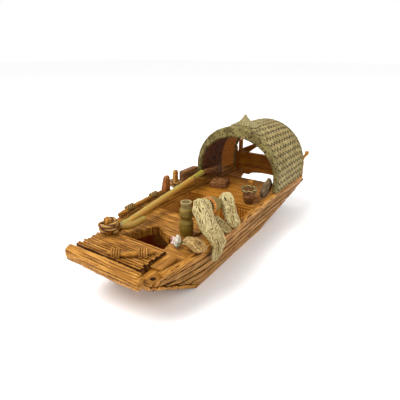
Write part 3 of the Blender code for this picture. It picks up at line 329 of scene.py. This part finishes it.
def new_mesh():
    bm = bmesh.new()
    bm.verts.layers.float.new("crease")
    bm.verts.layers.float.new("tone")
    return bm


def core(node):
    """The CAD node's shape, its loose triangles merged."""
    bm = bmesh.new()
    bm.from_mesh(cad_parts[node].data)
    bmesh.ops.remove_doubles(bm, verts=bm.verts, dist=0.000002)
    return bm


def recast(node, voxel):
    """The CAD node's shape as an even, closed skin that can be carved."""
    bm = core(node)
    mesh = bpy.data.meshes.new("blank")
    bm.to_mesh(mesh)
    bm.free()
    blank = bpy.data.objects.new("blank", mesh)
    bpy.context.scene.collection.objects.link(blank)
    skin = blank.modifiers.new("skin", "REMESH")
    skin.mode = "VOXEL"
    skin.voxel_size = voxel * MM
    graph = bpy.context.evaluated_depsgraph_get()
    bm = new_mesh()
    done = bpy.data.meshes.new_from_object(blank.evaluated_get(graph))
    bm.from_mesh(done)
    bpy.data.objects.remove(blank)
    bpy.data.meshes.remove(done)
    return bm


def carve(bm, depth, amount, shade=1.0, rough=0.0, tone=None):
    """Presses a pattern into a skin: amount is its depth in millimetres, shade how dark it is painted."""
    bm.normal_update()
    crease, tint = bm.verts.layers.float["crease"], bm.verts.layers.float["tone"]
    moves = []
    for vert in bm.verts:
        deep = depth(vert.co, vert.normal)
        lump = rough * wobble(vert.co, 0.0022, 9.0) if rough else 0.0
        moves.append(vert.normal * ((lump - deep * amount) * MM))
        vert[crease] = max(vert[crease], deep * shade)
        vert[tint] = tone(vert.co, vert.normal) if tone else 0.6 * wobble(vert.co, 0.009, 4.0)
    for vert, move in zip(bm.verts, moves):
        vert.co += move
    return bm


def show(name, bm, paint, *nodes, sharp=60):
    """Puts a finished mesh in the scene, in place of CAD nodes, in its own paint."""
    mesh = bpy.data.meshes.new(name)
    bm.to_mesh(mesh)
    bm.free()
    mesh.shade_smooth()
    mesh.set_sharp_from_angle(angle=math.radians(sharp))
    mesh.materials.append(paint)
    made = bpy.data.objects.new(name, mesh)
    bpy.context.scene.collection.objects.link(made)
    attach(made, "root")
    if nodes:
        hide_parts(*nodes)
    return made


def tube(bm, sides, rows, shape):
    """A closed tube: shape(turn, run) gives centre, offset, crease and tone, with turn and run 0 to 1."""
    crease, tint = bm.verts.layers.float["crease"], bm.verts.layers.float["tone"]
    made = bmesh.ops.create_grid(bm, x_segments=sides, y_segments=rows + 2, size=0.5)["verts"]
    for vert in made:
        turn = (round((vert.co.x + 0.5) * sides) % sides) / sides
        row = round((vert.co.y + 0.5) * (rows + 2))
        run = min(max((row - 1) / rows, 0.0), 1.0)
        centre, offset, deep, tone = shape(turn, run)
        end = row in (0, rows + 2)
        vert.co = centre if end else centre + offset
        vert[crease], vert[tint] = deep, tone
    bmesh.ops.remove_doubles(bm, verts=made, dist=0.0000001)


def close_up(bm):
    bmesh.ops.recalc_face_normals(bm, faces=bm.faces)
    return bm


def run_frames(points, rows):
    """Even places along a line of points: (place, side, up) for each row."""
    points = [Vector(point) for point in points]
    lengths = [0.0]
    for a, b in zip(points, points[1:]):
        lengths.append(lengths[-1] + (b - a).length)
    places, k = [], 0
    for row in range(rows + 1):
        at = lengths[-1] * row / rows
        while k < len(points) - 2 and lengths[k + 1] < at:
            k += 1
        places.append(points[k].lerp(points[k + 1], (at - lengths[k]) / (lengths[k + 1] - lengths[k])))
    frames, side = [], None
    for row, place in enumerate(places):
        ahead = (places[min(row + 1, rows)] - places[max(row - 1, 0)]).normalized()
        if side is None:
            side = ahead.orthogonal().normalized()
        side = (side - ahead * side.dot(ahead)).normalized()
        frames.append((place, side, ahead.cross(side)))
    return frames, lengths[-1]


def rope(bm, points, radius, rows, lay=5.0, strands=3, sides=12, tone=0.0):
    """A laid rope along points: strands twist round each other every lay radii."""
    frames, length = run_frames(points, rows)

    def shape(turn, run):
        place, side, up = frames[round(run * rows)]
        angle = 2 * math.pi * turn
        wave = math.cos(strands * (angle - 2 * math.pi * run * length / (lay * radius * strands)))
        size = radius * (0.86 + 0.16 * wave)
        return place, (side * math.cos(angle) + up * math.sin(angle)) * size, soft_step(0.1, -0.9, wave), tone

    tube(bm, sides, rows, shape)


def ring_points(centre, radius, turns, rise, steps=26, start=0.0):
    places = []
    for i in range(int(turns * steps) + 1):
        angle = start + 2 * math.pi * i / steps
        places.append(centre + Vector((radius * math.cos(angle), radius * math.sin(angle), rise * i / steps)))
    return places


# ---- Lofted CAD nodes: strakes, rails, side decks ---------------------------------------------

def sections(node, count, hand=1):
    """The CAD node's cross sections along the boat, each with its corners in order from inboard."""
    groups = {}
    bm = core(node)
    for vert in bm.verts:
        groups.setdefault(round(vert.co.y, 5), []).append(vert.co.copy())
    bm.free()
    found = []
    for at in sorted(groups):
        ring = groups[at]
        if len(ring) != count:
            continue
        middle = sum(ring, Vector()) / count
        ring.sort(key=lambda p: math.atan2(p.z - middle.z, hand * (p.x - middle.x)))
        found.append((at, ring))
    return found


def planking(node, count, parts, rows, hand=1):
    """A lofted CAD node with its faces divided finely: parts is how often each side of a section is."""
    found = sections(node, count, hand)
    stops = [0]
    for part in parts:
        stops.append(stops[-1] + part)
    sides = stops[-1]
    bm = new_mesh()
    low, high = found[0][0], found[-1][0]
    crease = bm.verts.layers.float["crease"]

    def shape(turn, run):
        y = low + (high - low) * run
        k = 0
        while k < len(found) - 2 and found[k + 1][0] < y:
            k += 1
        share = (y - found[k][0]) / (found[k + 1][0] - found[k][0])
        step = round(turn * sides) % sides
        edge = max(i for i in range(count) if stops[i] <= step)
        part = (step - stops[edge]) / parts[edge]
        corners = []
        for ring in (found[k][1], found[k + 1][1]):
            corners.append(ring[edge].lerp(ring[(edge + 1) % count], part))
        point = corners[0].lerp(corners[1], share)
        centre = sum(found[k][1], Vector()).lerp(sum(found[k + 1][1], Vector()), share) / count
        return centre, point - centre, 0.0, 0.0

    tube(bm, sides, rows, shape)
    return close_up(bm)


def paint_shade_in_hole(bm, node):
    """Paints shade inside a small drilled hole, as the darkest wash: its rim is the CAD node's only run of short
    edges.
    """
    plain = core(node)
    rim = [vert.co.copy() for vert in plain.verts
           if sum(edge.calc_length() < 0.0008 for edge in vert.link_edges) >= 2]
    plain.free()
    if not rim:
        return
    middle = sum(rim, Vector()) / len(rim)
    reach = max(math.hypot(point.x - middle.x, point.y - middle.y) for point in rim)
    crease = bm.verts.layers.float["crease"]
    for vert in bm.verts:
        if math.hypot(vert.co.x - middle.x, vert.co.y - middle.y) < reach + 0.0004:
            vert[crease] = 1.0


def build_sides():
    """Strakes, rails and side decks, all carved along the boat."""
    for label, hand in (("port", 1), ("starboard", -1)):
        for number in range(1, 5):
            node = f"{label}_strake_{number}"
            found = sections(node, 7, hand)
            tops = [(at, max(p.z for p in ring), min(p.z for p in ring)) for at, ring in found]

            def follow(point, normal):
                k = max((i for i, top in enumerate(tops[:-1]) if top[0] <= point.y), default=0)
                share = (point.y - tops[k][0]) / (tops[k + 1][0] - tops[k][0])
                top = tops[k][1] + (tops[k + 1][1] - tops[k][1]) * share
                low = tops[k][2] + (tops[k + 1][2] - tops[k][2]) * share
                across = (top - point.z) / max(top - low, 0.002) * 0.0072
                deep = min(1.0, 1.7 * cut_lines(across, point.y, 0.00135, 3.0 * number + hand, 0.32))
                seam = max(0.0, 1 - abs(top - point.z) / 0.0006, 1 - abs(point.z - low) / 0.0005)
                return max(deep * (0.75 + 0.25 / number), 0.8 * seam)

            bm = planking(node, 7, (2, 1, 12, 12, 1, 3, 2), 330, hand)
            show(f"{node}_carved", carve(bm, follow, 0.42, 1.15, 0.06), SIDES, node)
        rail = planking(f"{label}_rail", 6, (4, 5, 3, 8, 3, 5), 300, hand)
        show(f"{label}_rail_carved", carve(rail, lines(Y, 0.0012, 5.0 + hand, 0.27), 0.36, 0.95, 0.07), TIMBER[1],
             f"{label}_rail")
        deck = carve(recast(f"{label}_side_deck", 0.40), lines(Y, 0.0014, 8.0 + hand, 0.27), 0.30, 0.9, 0.05)
        # The stick hole is painted dark inside: painted shade.
        paint_shade_in_hole(deck, f"{label}_side_deck")
        show(f"{label}_side_deck_carved", deck, TIMBER[1], f"{label}_side_deck")
    ramp = planking("bow_ramp_planks", 6, (4, 4, 2, 2, 4, 30), 252)

    def plank_gaps(point, normal):
        place = (point.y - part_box("bow_ramp_planks")[0].y) / 0.0029
        return soft_step(0.30, 0.48, abs(place - round(place))) * (1 if abs(normal.y) < 0.8 else 0.3)

    show("bow_ramp_carved", carve(ramp, plank_gaps, 0.25, 0.9, 0.05), TIMBER[0], "bow_ramp_planks")


# ---- Bow and decks ----------------------------------------------------------------------------

def build_foredeck():
    low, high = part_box("foredeck")
    poles = lines(X, 0.0011, 2.0, 0.30)

    def depth(point, normal):
        valley = soft_step(0.0002, 0.0010, high.z - point.z) if point.z > high.z - 0.0026 else 0.30
        return min(1.0, 1.3 * valley * (0.9 + 0.5 * wobble(point, 0.006, 5.0)) + 0.8 * poles(point, normal))

    def tone(point, normal):
        pole = math.floor((point.y - low.y) / (high.y - low.y) * 12)
        return 0.7 * noise.noise(Vector((pole * 1.9, point.x * 25, 0)))

    bm = carve(recast("foredeck", 0.40), depth, 0.50, 1.0, 0.30, tone)
    for vert in bm.verts:
        pole = math.floor((vert.co.y - low.y) / (high.y - low.y) * 12)
        end = soft_step(0.0045, 0.0, min(vert.co.x - low.x, high.x - vert.co.x))
        vert.co.x += 0.0026 * end * noise.noise(Vector((pole * 2.9, 0.4, 0))) * math.copysign(1, -vert.co.x)
    show("foredeck_carved", bm, TIMBER[0], "foredeck")
    log_low, log_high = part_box("bow_log")
    middle = (log_low + log_high) / 2
    bark = lines(X, 0.0023, 6.0, 0.26)

    def log_depth(point, normal):
        if abs(normal.x) > 0.75:
            reach = math.hypot(point.y - middle.y, point.z - middle.z)
            return cut_lines(reach, math.atan2(point.z - middle.z, point.y - middle.y) * 0.006, 0.0011, 2.0, 0.3)
        return bark(point, normal)

    show("bow_log_carved", carve(recast("bow_log", 0.40), log_depth, 0.45, 0.85, 0.50), TIMBER[0], "bow_log")
    yoke_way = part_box("deck_yoke")[1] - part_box("deck_yoke")[0]
    yoke_way.z = 0
    show("deck_yoke_carved", carve(recast("deck_yoke", 0.22), lines(yoke_way, 0.0009), 0.18, 0.6, 0.08), TIMBER[0],
         "deck_yoke")
    show("deck_plank_carved", carve(recast("deck_plank", 0.25), lines(Y, 0.0012, 3.0), 0.22, 0.9, 0.06), TIMBER[1],
         "deck_plank")
    show("deck_block_carved", carve(recast("deck_block", 0.25), lines(X, 0.0014, 4.0), 0.2, 0.8, 0.08), TIMBER[0],
         "deck_block")


def build_decks():
    show("mid_deck_carved", carve(recast("mid_deck", 0.50), lines(X, 0.0020, 7.0, 0.22), 0.38, 1.0, 0.12), TIMBER[0],
         "mid_deck")
    show("cabin_deck_carved", carve(recast("cabin_deck", 0.50), lines(X, 0.0030, 12.0, 0.14), 0.40, 0.9, 0.10),
         CABIN_TIMBER[0], "cabin_deck")
    show("cabin_bulkhead_carved", carve(recast("cabin_bulkhead", 0.50), lines(Z, 0.0030, 2.0, 0.2), 0.30, 0.9, 0.08),
         CABIN_TIMBER[2], "cabin_bulkhead")
    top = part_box("straw_mat")[1].z
    flat, hanging = lines((1, -0.12, 0), 0.00135, 5.0, 0.34), lines(Z, 0.0015, 3.0, 0.36)

    def mat_depth(point, normal):
        return hanging(point, normal) if point.z < top - 0.0014 or abs(normal.z) < 0.5 else flat(point, normal)

    show("straw_mat_woven", carve(recast("straw_mat", 0.32), mat_depth, 0.60, 1.0, 0.22), TIMBER[0], "straw_mat")


# ---- Canopy -----------------------------------------------------------------------------------

def twill(around, along, strip=0.0045):
    """A two-over two-under weave of strips laid on the slant: height 0 to 1, darkness 0 to 1 and tone."""
    drift = 0.16 * noise.noise(Vector((around / 0.005, along / 0.005, 0.3)))
    p, q = (around + along) / (math.sqrt(2) * strip) + drift, (around - along) / (math.sqrt(2) * strip) - drift
    i, j = math.floor(p), math.floor(q)
    over = (i + j) % 4 < 2
    fp, fq = p - i - 0.5, q - j - 0.5

    def kind(a, b):
        return (a + b) % 4 < 2

    dark = 0.0
    for offset, da, db in ((0.5 - fp, 1, 0), (0.5 + fp, -1, 0), (0.5 - fq, 0, 1), (0.5 + fq, 0, -1)):
        turned = kind(i + da, j + db) != over
        worn = 0.75 + 0.6 * noise.noise(Vector((i * 1.7, j * 1.3, 2.0 * da + db)))
        reach = (0.30 if turned else 0.08) * worn
        dark = max(dark, (1.0 if turned else 0.40) * min(1.0, 1.5 * max(0.0, 1 - offset / reach)))
    across = fp if over else fq
    number = i if over else j
    height = 1 - 1.6 * abs(across) ** 2.4 - 0.75 * dark
    return height, dark, 0.8 * noise.noise(Vector((number * 2.3, 3.1 if over else 7.7, (j if over else i) * 0.35)))


def build_canopy():
    shell_low, shell_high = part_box("canopy_shell")
    front_half = shell_high.x
    spring = shell_high.z - front_half
    foot = spring - shell_low.z
    front, back = shell_low.y, shell_high.y
    taper = 0.0018 * (back - front) / 0.072
    turn_length = math.pi * front_half
    total = 2 * foot + turn_length
    bm = new_mesh()
    crease, tint = bm.verts.layers.float["crease"], bm.verts.layers.float["tone"]
    across, along = 300, 126
    skin = bmesh.ops.create_grid(bm, x_segments=across, y_segments=along, size=0.5)
    for vert in skin["verts"]:
        around, run = (vert.co.x + 0.5) * total, vert.co.y + 0.5
        y = front + (back - front) * run
        half = front_half - taper * run
        height, dark, tone = twill(around, y)
        if around < foot:
            place, out = Vector((half, y, shell_low.z + around)), X
        elif around > total - foot:
            place, out = Vector((-half, y, shell_low.z + total - around)), -X
        else:
            angle = (around - foot) / front_half
            out = Vector((math.cos(angle), 0, math.sin(angle)))
            place = Vector((0, y, spring)) + out * half
        vert.co = place + out * ((0.42 * height - 0.10) * MM)
        vert[crease], vert[tint] = dark * 0.95, tone
    outside = set(bm.faces)
    bmesh.ops.recalc_face_normals(bm, faces=bm.faces)
    if sum(face.normal.z for face in bm.faces) < 0:
        bmesh.ops.reverse_faces(bm, faces=bm.faces)
    bmesh.ops.solidify(bm, geom=list(bm.faces), thickness=0.0040)
    for face in bm.faces:
        middle = face.calc_center_median() - Vector((0, 0, spring))
        reach = math.hypot(middle.x, max(middle.z, 0))
        face.material_index = 1 if reach < front_half - 0.0030 else 0
    canopy = show("canopy_weave", close_up(bm), WEAVE, "canopy_shell")
    canopy.data.materials.append(lining())
    for end in ("front", "rear"):
        node = f"canopy_{end}_rim"

        # Tone: random mottling, plus painted light that makes the upward faces of the rim lighter.
        def tone(point, normal):
            return 0.8 * wobble(point, 0.006, 2.0) + 0.25 * normal.z

        rim = carve(recast(node, 0.50), pits(0.0017, 3.0, 0.05, 0.55), 0.22, 0.85, 0.20, tone)
        show(f"{node}_plaited", rim, RIM, node)


def lining():
    """Under the canopy: dark forward, orange with board streaks aft."""
    paint = Paint("canopy_lining")
    boards = paint.mottle((0.9, 12, 0.9), 3.0)
    lining_mottle = paint.mottle((5, 5, 5), 2.0)
    aft = paint.step(paint.axis(1) + (lining_mottle - 0.5) * 0.004, 0.0745, 0.0790)
    dark = paint.blend((0.135, 0.042, 0.010), (0.055, 0.018, 0.006), paint.step(lining_mottle, 0.35, 0.7))
    warm = paint.blend((0.50, 0.185, 0.020), (0.34, 0.110, 0.012), paint.step(boards, 0.4, 0.7))
    return paint.finish(paint.blend(dark, warm, aft), 0.6, boards, 0.15, 0.6)


def build_hat():
    low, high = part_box("straw_hat")
    middle = (low + high) / 2

    def depth(point, normal):
        reach, angle = math.hypot(point.x - middle.x, point.y - middle.y), math.atan2(point.y - middle.y, point.x)
        ring = reach / 0.0013
        check = math.sin(angle * round(6 + 2.2 * ring)) * math.cos(math.pi * ring)
        return max(soft_step(0.25, 0.75, check), 0.6 * soft_step(0.1, 0.6, wobble(point, 0.0013)))

    show("straw_hat_woven", carve(recast("straw_hat", 0.38), depth, 0.22, 1.0, 0.12), HAT, "straw_hat")


# ---- Stern ------------------------------------------------------------------------------------

def build_stern():
    low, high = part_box("transom_board")
    for node, way, pitch in (("transom_board", X, 0.0026), ("stern_brace", (1, 0, 0.7), 0.0016),
                             ("stern_post", Z, 0.0013), ("stern_wing_port", Z, 0.0013),
                             ("stern_wing_starboard", Z, 0.0013)):
        bm = carve(recast(node, 0.40), lines(way, pitch, 3.0, 0.2), 0.22, 0.6, 0.08)
        paint = CABIN_TIMBER[0 if node == "transom_board" else 2] if node != "stern_brace" else TIMBER[0]
        show(f"{node}_carved", bm, paint, node)


# ---- Starboard gear ---------------------------------------------------------------------------

def build_pole():
    """The bamboo pole: green on top and golden below, with dark rings at its joints."""
    low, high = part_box("bamboo_pole")

    def depth(point, normal):
        return 0.0

    def tone(point, normal):
        tip = soft_step(0.0, 0.004, point.y - high.y + 0.0200)
        return 0.55 * normal.z - 0.45 * normal.x - 0.25 + 1.1 * tip + 0.5 * wobble(point, 0.012, 3.0)

    bm = carve(recast("bamboo_pole", 0.42), depth, 0.0, 0.0, 0.08, tone)
    crease = bm.verts.layers.float["crease"]
    ring = Vector((0, high.y - 0.0200, 0))
    for vert in bm.verts:
        near = abs(vert.co.y - ring.y) / 0.0016
        vert[crease] = max(0.0, 0.9 * (1 - near)) if vert.normal.z < 0.9 else 0.3 * max(0.0, 1 - near)
    paint = bpy.data.materials.get("bamboo_pole")
    pole = show("bamboo_pole_grown", bm, paint, "bamboo_pole")
    pole.data.materials.append(CROOK)
    for face in pole.data.polygons:
        if face.center.y < low.y + 0.0035 or face.center.x > -0.0160:
            face.material_index = 1


def build_rope_work():
    """Coils and lashings in laid rope."""
    for node, turns, rise, radius in (("bollard_rope", 2.4, 0.0032, 0.0015), ("mooring_rope", 2.6, 0.0022, 0.0010),
                                      ("pot_rope", 1.6, 0.0022, 0.0010)):
        low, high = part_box(node)
        middle = (low + high) / 2
        reach = (high.x - low.x) / 2 - radius
        start = Vector((middle.x, middle.y, low.z + radius))
        bm = new_mesh()
        rope(bm, ring_points(start, reach, turns, rise, 40), radius * 1.06, 220, 5.0, 2)
        show(f"{node}_laid", close_up(bm), NET_SHADE if node == "pot_rope" else ROPE, node)
    ends = [sum(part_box(f"spar_lashing_{end}"), Vector()) / 2 for end in ("fore", "aft")]
    ahead = (ends[1] - ends[0]).normalized()
    across, up = ahead.cross(Z), ahead.cross(Z).cross(ahead)
    for end, middle in zip(("fore", "aft"), ends):
        node = f"spar_lashing_{end}"
        reach = (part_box(node)[1].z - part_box(node)[0].z) / 2 - 0.0007
        bm = new_mesh()
        turns, points = 4.5, []
        for i in range(int(turns * 24) + 1):
            angle, slide = 2 * math.pi * i / 24, (i / (turns * 24) - 0.5) * 0.0088
            points.append(middle + ahead * slide + (across * math.cos(angle) + up * math.sin(angle)) * reach)
        rope(bm, points, 0.00095, 320, 3.4, 2)
        show(f"{node}_laid", close_up(bm), LASHING, node)
    for node in ("yoke_lashing_port", "yoke_lashing_starboard"):
        twist = lines((1, 1, 1.4), 0.0007, 3.0, 0.4)
        show(f"{node}_laid", carve(recast(node, 0.16), twist, 0.12, 0.8, 0.05), KNOT, node)


def build_starboard_gear():
    for node, way, pitch, paint, voxel in (
            ("bollard", Z, 0.0014, TIMBER[2], 0.25), ("spar", Y, 0.0010, TIMBER[1], 0.28),
            ("wedge_block", Z, 0.0014, RED_BROWN, 0.28), ("mooring_post", Z, 0.0013, TIMBER[2], 0.28),
            ("tackle_chest", Y, 0.0016, BROWN, 0.34), ("broom_bundle", (0.05, 1, -0.1), 0.0011, BROWN, 0.30),
            ("stool", (1, 0.32, 0), 0.0016, BROWN, 0.30), ("basket_stand", Z, 0.0012, RED_BROWN, 0.30),
            ("rope_post", Z, 0.0012, TIMBER[2], 0.25), ("round_pot", (1, 0, 0.3), 0.0012, BROWN, 0.22),
            ("paddle_bundle", (0.1, 1, 0.5), 0.0011, LEAF, 0.20)):
        bm = carve(recast(node, voxel), lines(way, pitch, 2.0, 0.30), 0.30, 0.9, 0.18)
        show(f"{node}_carved", bm, paint, node)


# ---- Port gear --------------------------------------------------------------------------------

def spine_of(node, grow):
    """The CAD hank's sections, from its top or inboard end: (centre, half width along the boat, half depth)."""
    bm = core(node)
    bmesh.ops.dissolve_limit(bm, angle_limit=0.001, verts=[], edges=bm.edges)
    ends = sorted((face for face in bm.faces if len(face.verts) == 10), key=lambda f: f.calc_center_median().x)
    ring, rings, seen = list(ends[0].verts), [], set(ends[0].verts)
    while ring:
        rings.append([vert.co.copy() for vert in ring])
        ring = list({edge.other_vert(vert) for vert in ring for edge in vert.link_edges} - seen)
        seen.update(ring)
    bm.free()
    centres = [sum(ring, Vector()) / len(ring) for ring in rings]
    spine = []
    for k, (ring, centre) in enumerate(zip(rings, centres)):
        path = (centres[min(k + 1, len(rings) - 1)] - centres[max(k - 1, 0)]).normalized()
        along = (Y - path * Y.dot(path)).normalized()
        out = along.cross(path)
        wide = max((point - centre).dot(along) for point in ring)
        deep = max((point - centre).dot(out) for point in ring) / math.sin(math.radians(72))
        spine.append((centre, wide * grow, deep * grow))
    return spine


def hank(name, node, ridges, paint, amount=0.42, seed=0.0, rows=150, sides=96, grow=1.08):
    """A hank of net or straw: strands run down its length and part into folds."""
    spine = spine_of(node, grow)
    centres = [point for point, wide, deep in spine]
    frames, length = run_frames(centres, rows)
    spots = [0.0]
    for a, b in zip(centres, centres[1:]):
        spots.append(spots[-1] + (b - a).length)

    def girth(run, which):
        at = run * length
        k = 0
        while k < len(spots) - 2 and spots[k + 1] < at:
            k += 1
        share = soft_step(0, 1, (at - spots[k]) / (spots[k + 1] - spots[k]))
        return spine[k][which] + (spine[k + 1][which] - spine[k][which]) * share

    def shape(turn, run):
        row = round(run * rows)
        place = frames[row][0]
        before, after = frames[max(row - 1, 0)][0], frames[min(row + 1, rows)][0]
        path = (after - before).normalized()
        along = (Y - path * Y.dot(path)).normalized()
        out = along.cross(path)
        angle = 2 * math.pi * turn
        drift = 0.45 * noise.noise(Vector((math.cos(angle) * 1.2, math.sin(angle) * 1.2, run * 3 + seed)))
        phase = ridges * (turn + drift * 0.16)
        gap = abs(phase - round(phase))
        strength = 0.45 + 1.5 * noise.noise(Vector((round(phase) * 2.7, run * length / 0.0040, seed + 5)))
        strand = max(0.0, min(1.0, strength)) * max(0.0, 1 - gap / 0.42)
        knots = soft_step(0.12, 0.40, noise.noise(Vector((phase * 1.3, run * length / 0.0013, seed + 2))))
        deep = max(strand, 0.75 * knots)
        fold = noise.noise(Vector((math.cos(angle) * 1.5, math.sin(angle) * 1.5, run * 1.8 + seed)))
        tuck = noise.noise(Vector((math.cos(angle) * 3.1, math.sin(angle) * 3.1, run * 3.5 + seed + 4)))
        deep = max(deep, 0.9 * soft_step(0.28, 0.50, tuck))
        shrink = 0.94 - 0.20 * fold - 0.14 * max(0.0, tuck)
        offset = along * math.cos(angle) * girth(run, 1) + out * math.sin(angle) * girth(run, 2)
        size = offset.length
        offset *= shrink * max(0.2, 1 - deep * amount * MM / max(size, 0.0005))
        # Tone: painted light and shade, lighter towards the end the spine starts from (a hanging hank's top) and
        # darker where a fold draws the surface in.
        return place, offset, min(1.0, deep), 0.35 * (1 - run) - 0.5 * fold

    bm = new_mesh()
    tube(bm, sides, rows, shape)
    return show(name, close_up(bm), paint, node)


def build_nets():
    hank("net_fore_knotted", "net_fore", 34, NET, 0.50, 1.0, 230, 200)
    hank("net_middle_knotted", "net_middle", 22, NET_SHADE, 0.45, 5.0, 120, 140, 1.15)
    hank("net_aft_knotted", "net_aft", 30, NET, 0.48, 9.0, 190, 190, 1.12)
    hank("straw_bundle_tied", "straw_bundle", 24, BUNDLE, 0.50, 13.0, 150, 150)


def build_creel():
    """Bamboo creel: upright reeds, hoops at its waists and a pale flared lip."""
    low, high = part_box("creel")
    middle = (low + high) / 2
    height = high.z - low.z

    def depth(point, normal):
        angle = math.atan2(point.y - middle.y, point.x - middle.x)
        share = (point.z - low.z) / height
        reed = soft_step(0.15, 0.95, math.cos(26 * angle + 0.8 * math.sin(9 * share)))
        hoop = max(0.0, 1 - min(abs(share - at) for at in (0.06, 0.33, 0.51, 0.66, 0.84)) / 0.018)
        return max(0.55 * reed * (1 if share < 0.84 else 0.3), 0.8 * hoop)

    # Tone: random mottling, plus painted light that makes upward faces greener and lighter.
    def tone(point, normal):
        return 0.6 * wobble(point, 0.004, 2.0) + 0.5 * normal.z

    bm = carve(recast("creel", 0.24), depth, 0.20, 0.75, 0.10, tone)
    creel = show("creel_woven", bm, CREEL, "creel")
    creel.data.materials.append(NET_SHADE)
    for face in creel.data.polygons:
        if face.center.z > high.z - 0.0046:
            face.material_index = 1


def build_basket():
    """The basket lying on its side, with a bamboo cup in its mouth."""
    low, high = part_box("lying_basket")
    centre, way = (low + high) / 2, Vector((0.02, -0.97, 0.14)).normalized()
    side = way.orthogonal().normalized()
    up = way.cross(side)

    def depth(point, normal):
        spot = point - centre
        angle, along = math.atan2(spot.dot(up), spot.dot(side)), spot.dot(way)
        weave = math.cos(22 * angle) * math.cos(2 * math.pi * along / 0.0026)
        return 0.8 * soft_step(0.1, 0.8, weave)

    bm = carve(recast("lying_basket", 0.26), depth, 0.24, 0.8, 0.08)
    basket = show("lying_basket_woven", bm, CREEL, "lying_basket")
    basket.data.materials.append(paint_ring())
    for face in basket.data.polygons:
        if (face.center - centre).dot(way) > 0.0036:
            face.material_index = 1
    show("bamboo_cup_cut", carve(recast("bamboo_cup", 0.20), pits(0.002), 0.05, 0.2, 0.04), CUP, "bamboo_cup")


def paint_ring():
    return grained("orange_hoop", 2, (0.62, 0.30, 0.08), (0.42, 0.16, 0.030), (0.14, 0.04, 0.010), length=1.5)


def build_shells():
    """A heap of small shells: white, pink and green."""
    low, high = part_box("shell_cluster")
    middle = (low + high) / 2
    scale = (high.x - low.x) / 0.0083
    bm = new_mesh()
    tint = bm.verts.layers.float["tone"]
    crease = bm.verts.layers.float["crease"]
    spots = [(0, 0, -0.4, 3.0), (1.5, -1.2, 0.9, 1.7), (-1.7, -0.9, 1.2, 1.6), (0.2, 1.6, 1.6, 1.6),
             (0.1, -1.9, 2.0, 1.4), (2.2, 0.8, -0.6, 1.5), (-2.1, 1.0, -0.2, 1.5), (-0.9, -2.2, -0.8, 1.7),
             (1.6, -1.9, -1.5, 1.6), (0.6, 0.2, 2.6, 1.3)]
    for number, (dx, dy, dz, size) in enumerate(spots):
        made = bmesh.ops.create_icosphere(bm, subdivisions=4, radius=1.0)["verts"]
        turn = Matrix.Rotation(1.7 * number, 3, "Z") @ Matrix.Rotation(0.9 * number, 3, "X")
        for vert in made:
            angle = math.atan2(vert.co.y, vert.co.x)
            rib = 0.5 + 0.5 * math.cos(9 * angle)
            flute = rib * (1 - abs(vert.co.z) ** 3)
            body = vert.co.copy()
            body.z *= 0.72
            vert.co = middle + (turn @ (body * (0.86 + 0.16 * flute)) * size + Vector((dx, dy, dz))) * MM * scale
            vert[crease] = 0.6 * (1 - flute) ** 3
            vert[tint] = (number * 0.37) % 1.0
    paint = Paint("shells")
    tone, cut = paint.carried("tone"), paint.carried("crease")
    speckle = paint.mottle((0.8, 0.8, 0.8))
    colour = paint.blend((0.80, 0.76, 0.62), (0.62, 0.26, 0.27), paint.step(tone, 0.45, 0.55))
    colour = paint.blend(colour, (0.30, 0.42, 0.20), paint.step(tone, 0.78, 0.86))
    colour = paint.blend(colour, (0.88, 0.84, 0.74), paint.step(speckle, 0.50, 0.62))
    colour = paint.blend(colour, (0.10, 0.05, 0.03), cut)
    show("shell_heap", close_up(bm), paint.finish(colour, 0.4, speckle, 0.05), "shell_cluster")


# ---- CAD nodes that stay ----------------------------------------------------------------------

def paint_hull():
    """The hull's own walls: ochre outside, red brown in the ash hollow, orange further aft."""
    paint = Paint("hull_walls")
    grain = paint.mottle((0.7, 16, 0.7), 4.0)
    patches = paint.mottle((7, 20, 7), 2.0)
    ochre = paint.blend(BODY, LIGHT, paint.step(patches + grain * 0.4, 0.55, 1.0))
    ochre = paint.blend(ochre, WASH, paint.step(1 - grain, 0.52, 0.70) * 0.7)
    warm = paint.blend((0.36, 0.150, 0.020), (0.22, 0.072, 0.008), paint.step(grain, 0.40, 0.62))
    red = paint.blend((0.42, 0.070, 0.009), (0.28, 0.040, 0.005), paint.step(patches, 0.4, 0.6))
    hollow = paint.step(paint.axis(1), -0.1210, -0.1205) * paint.step(0 - paint.axis(1), 0.0500, 0.0560)
    aft = paint.step(paint.axis(1), -0.0352, -0.0345)
    low = paint.step(0 - paint.axis(2), -0.0312, -0.0300)
    colour = paint.blend(ochre, red, hollow * low)
    colour = paint.blend(colour, warm, aft)
    return paint.finish(colour, 0.55, grain, 0.15, 0.7)


def paint_cad_nodes():
    hull = paint_hull()
    for node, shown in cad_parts.items():
        if shown.hide_render:
            continue
        shown.data.materials.clear()
        shown.data.materials.append(hull if node == "hull_shell" else TIMBER[1])


# ---- The scene --------------------------------------------------------------------------------

set_camera()
set_studio()
build_sides()
build_foredeck()
build_decks()
build_canopy()
build_hat()
build_stern()
build_pole()
build_rope_work()
build_starboard_gear()
build_nets()
build_creel()
build_basket()
build_shells()
paint_cad_nodes()
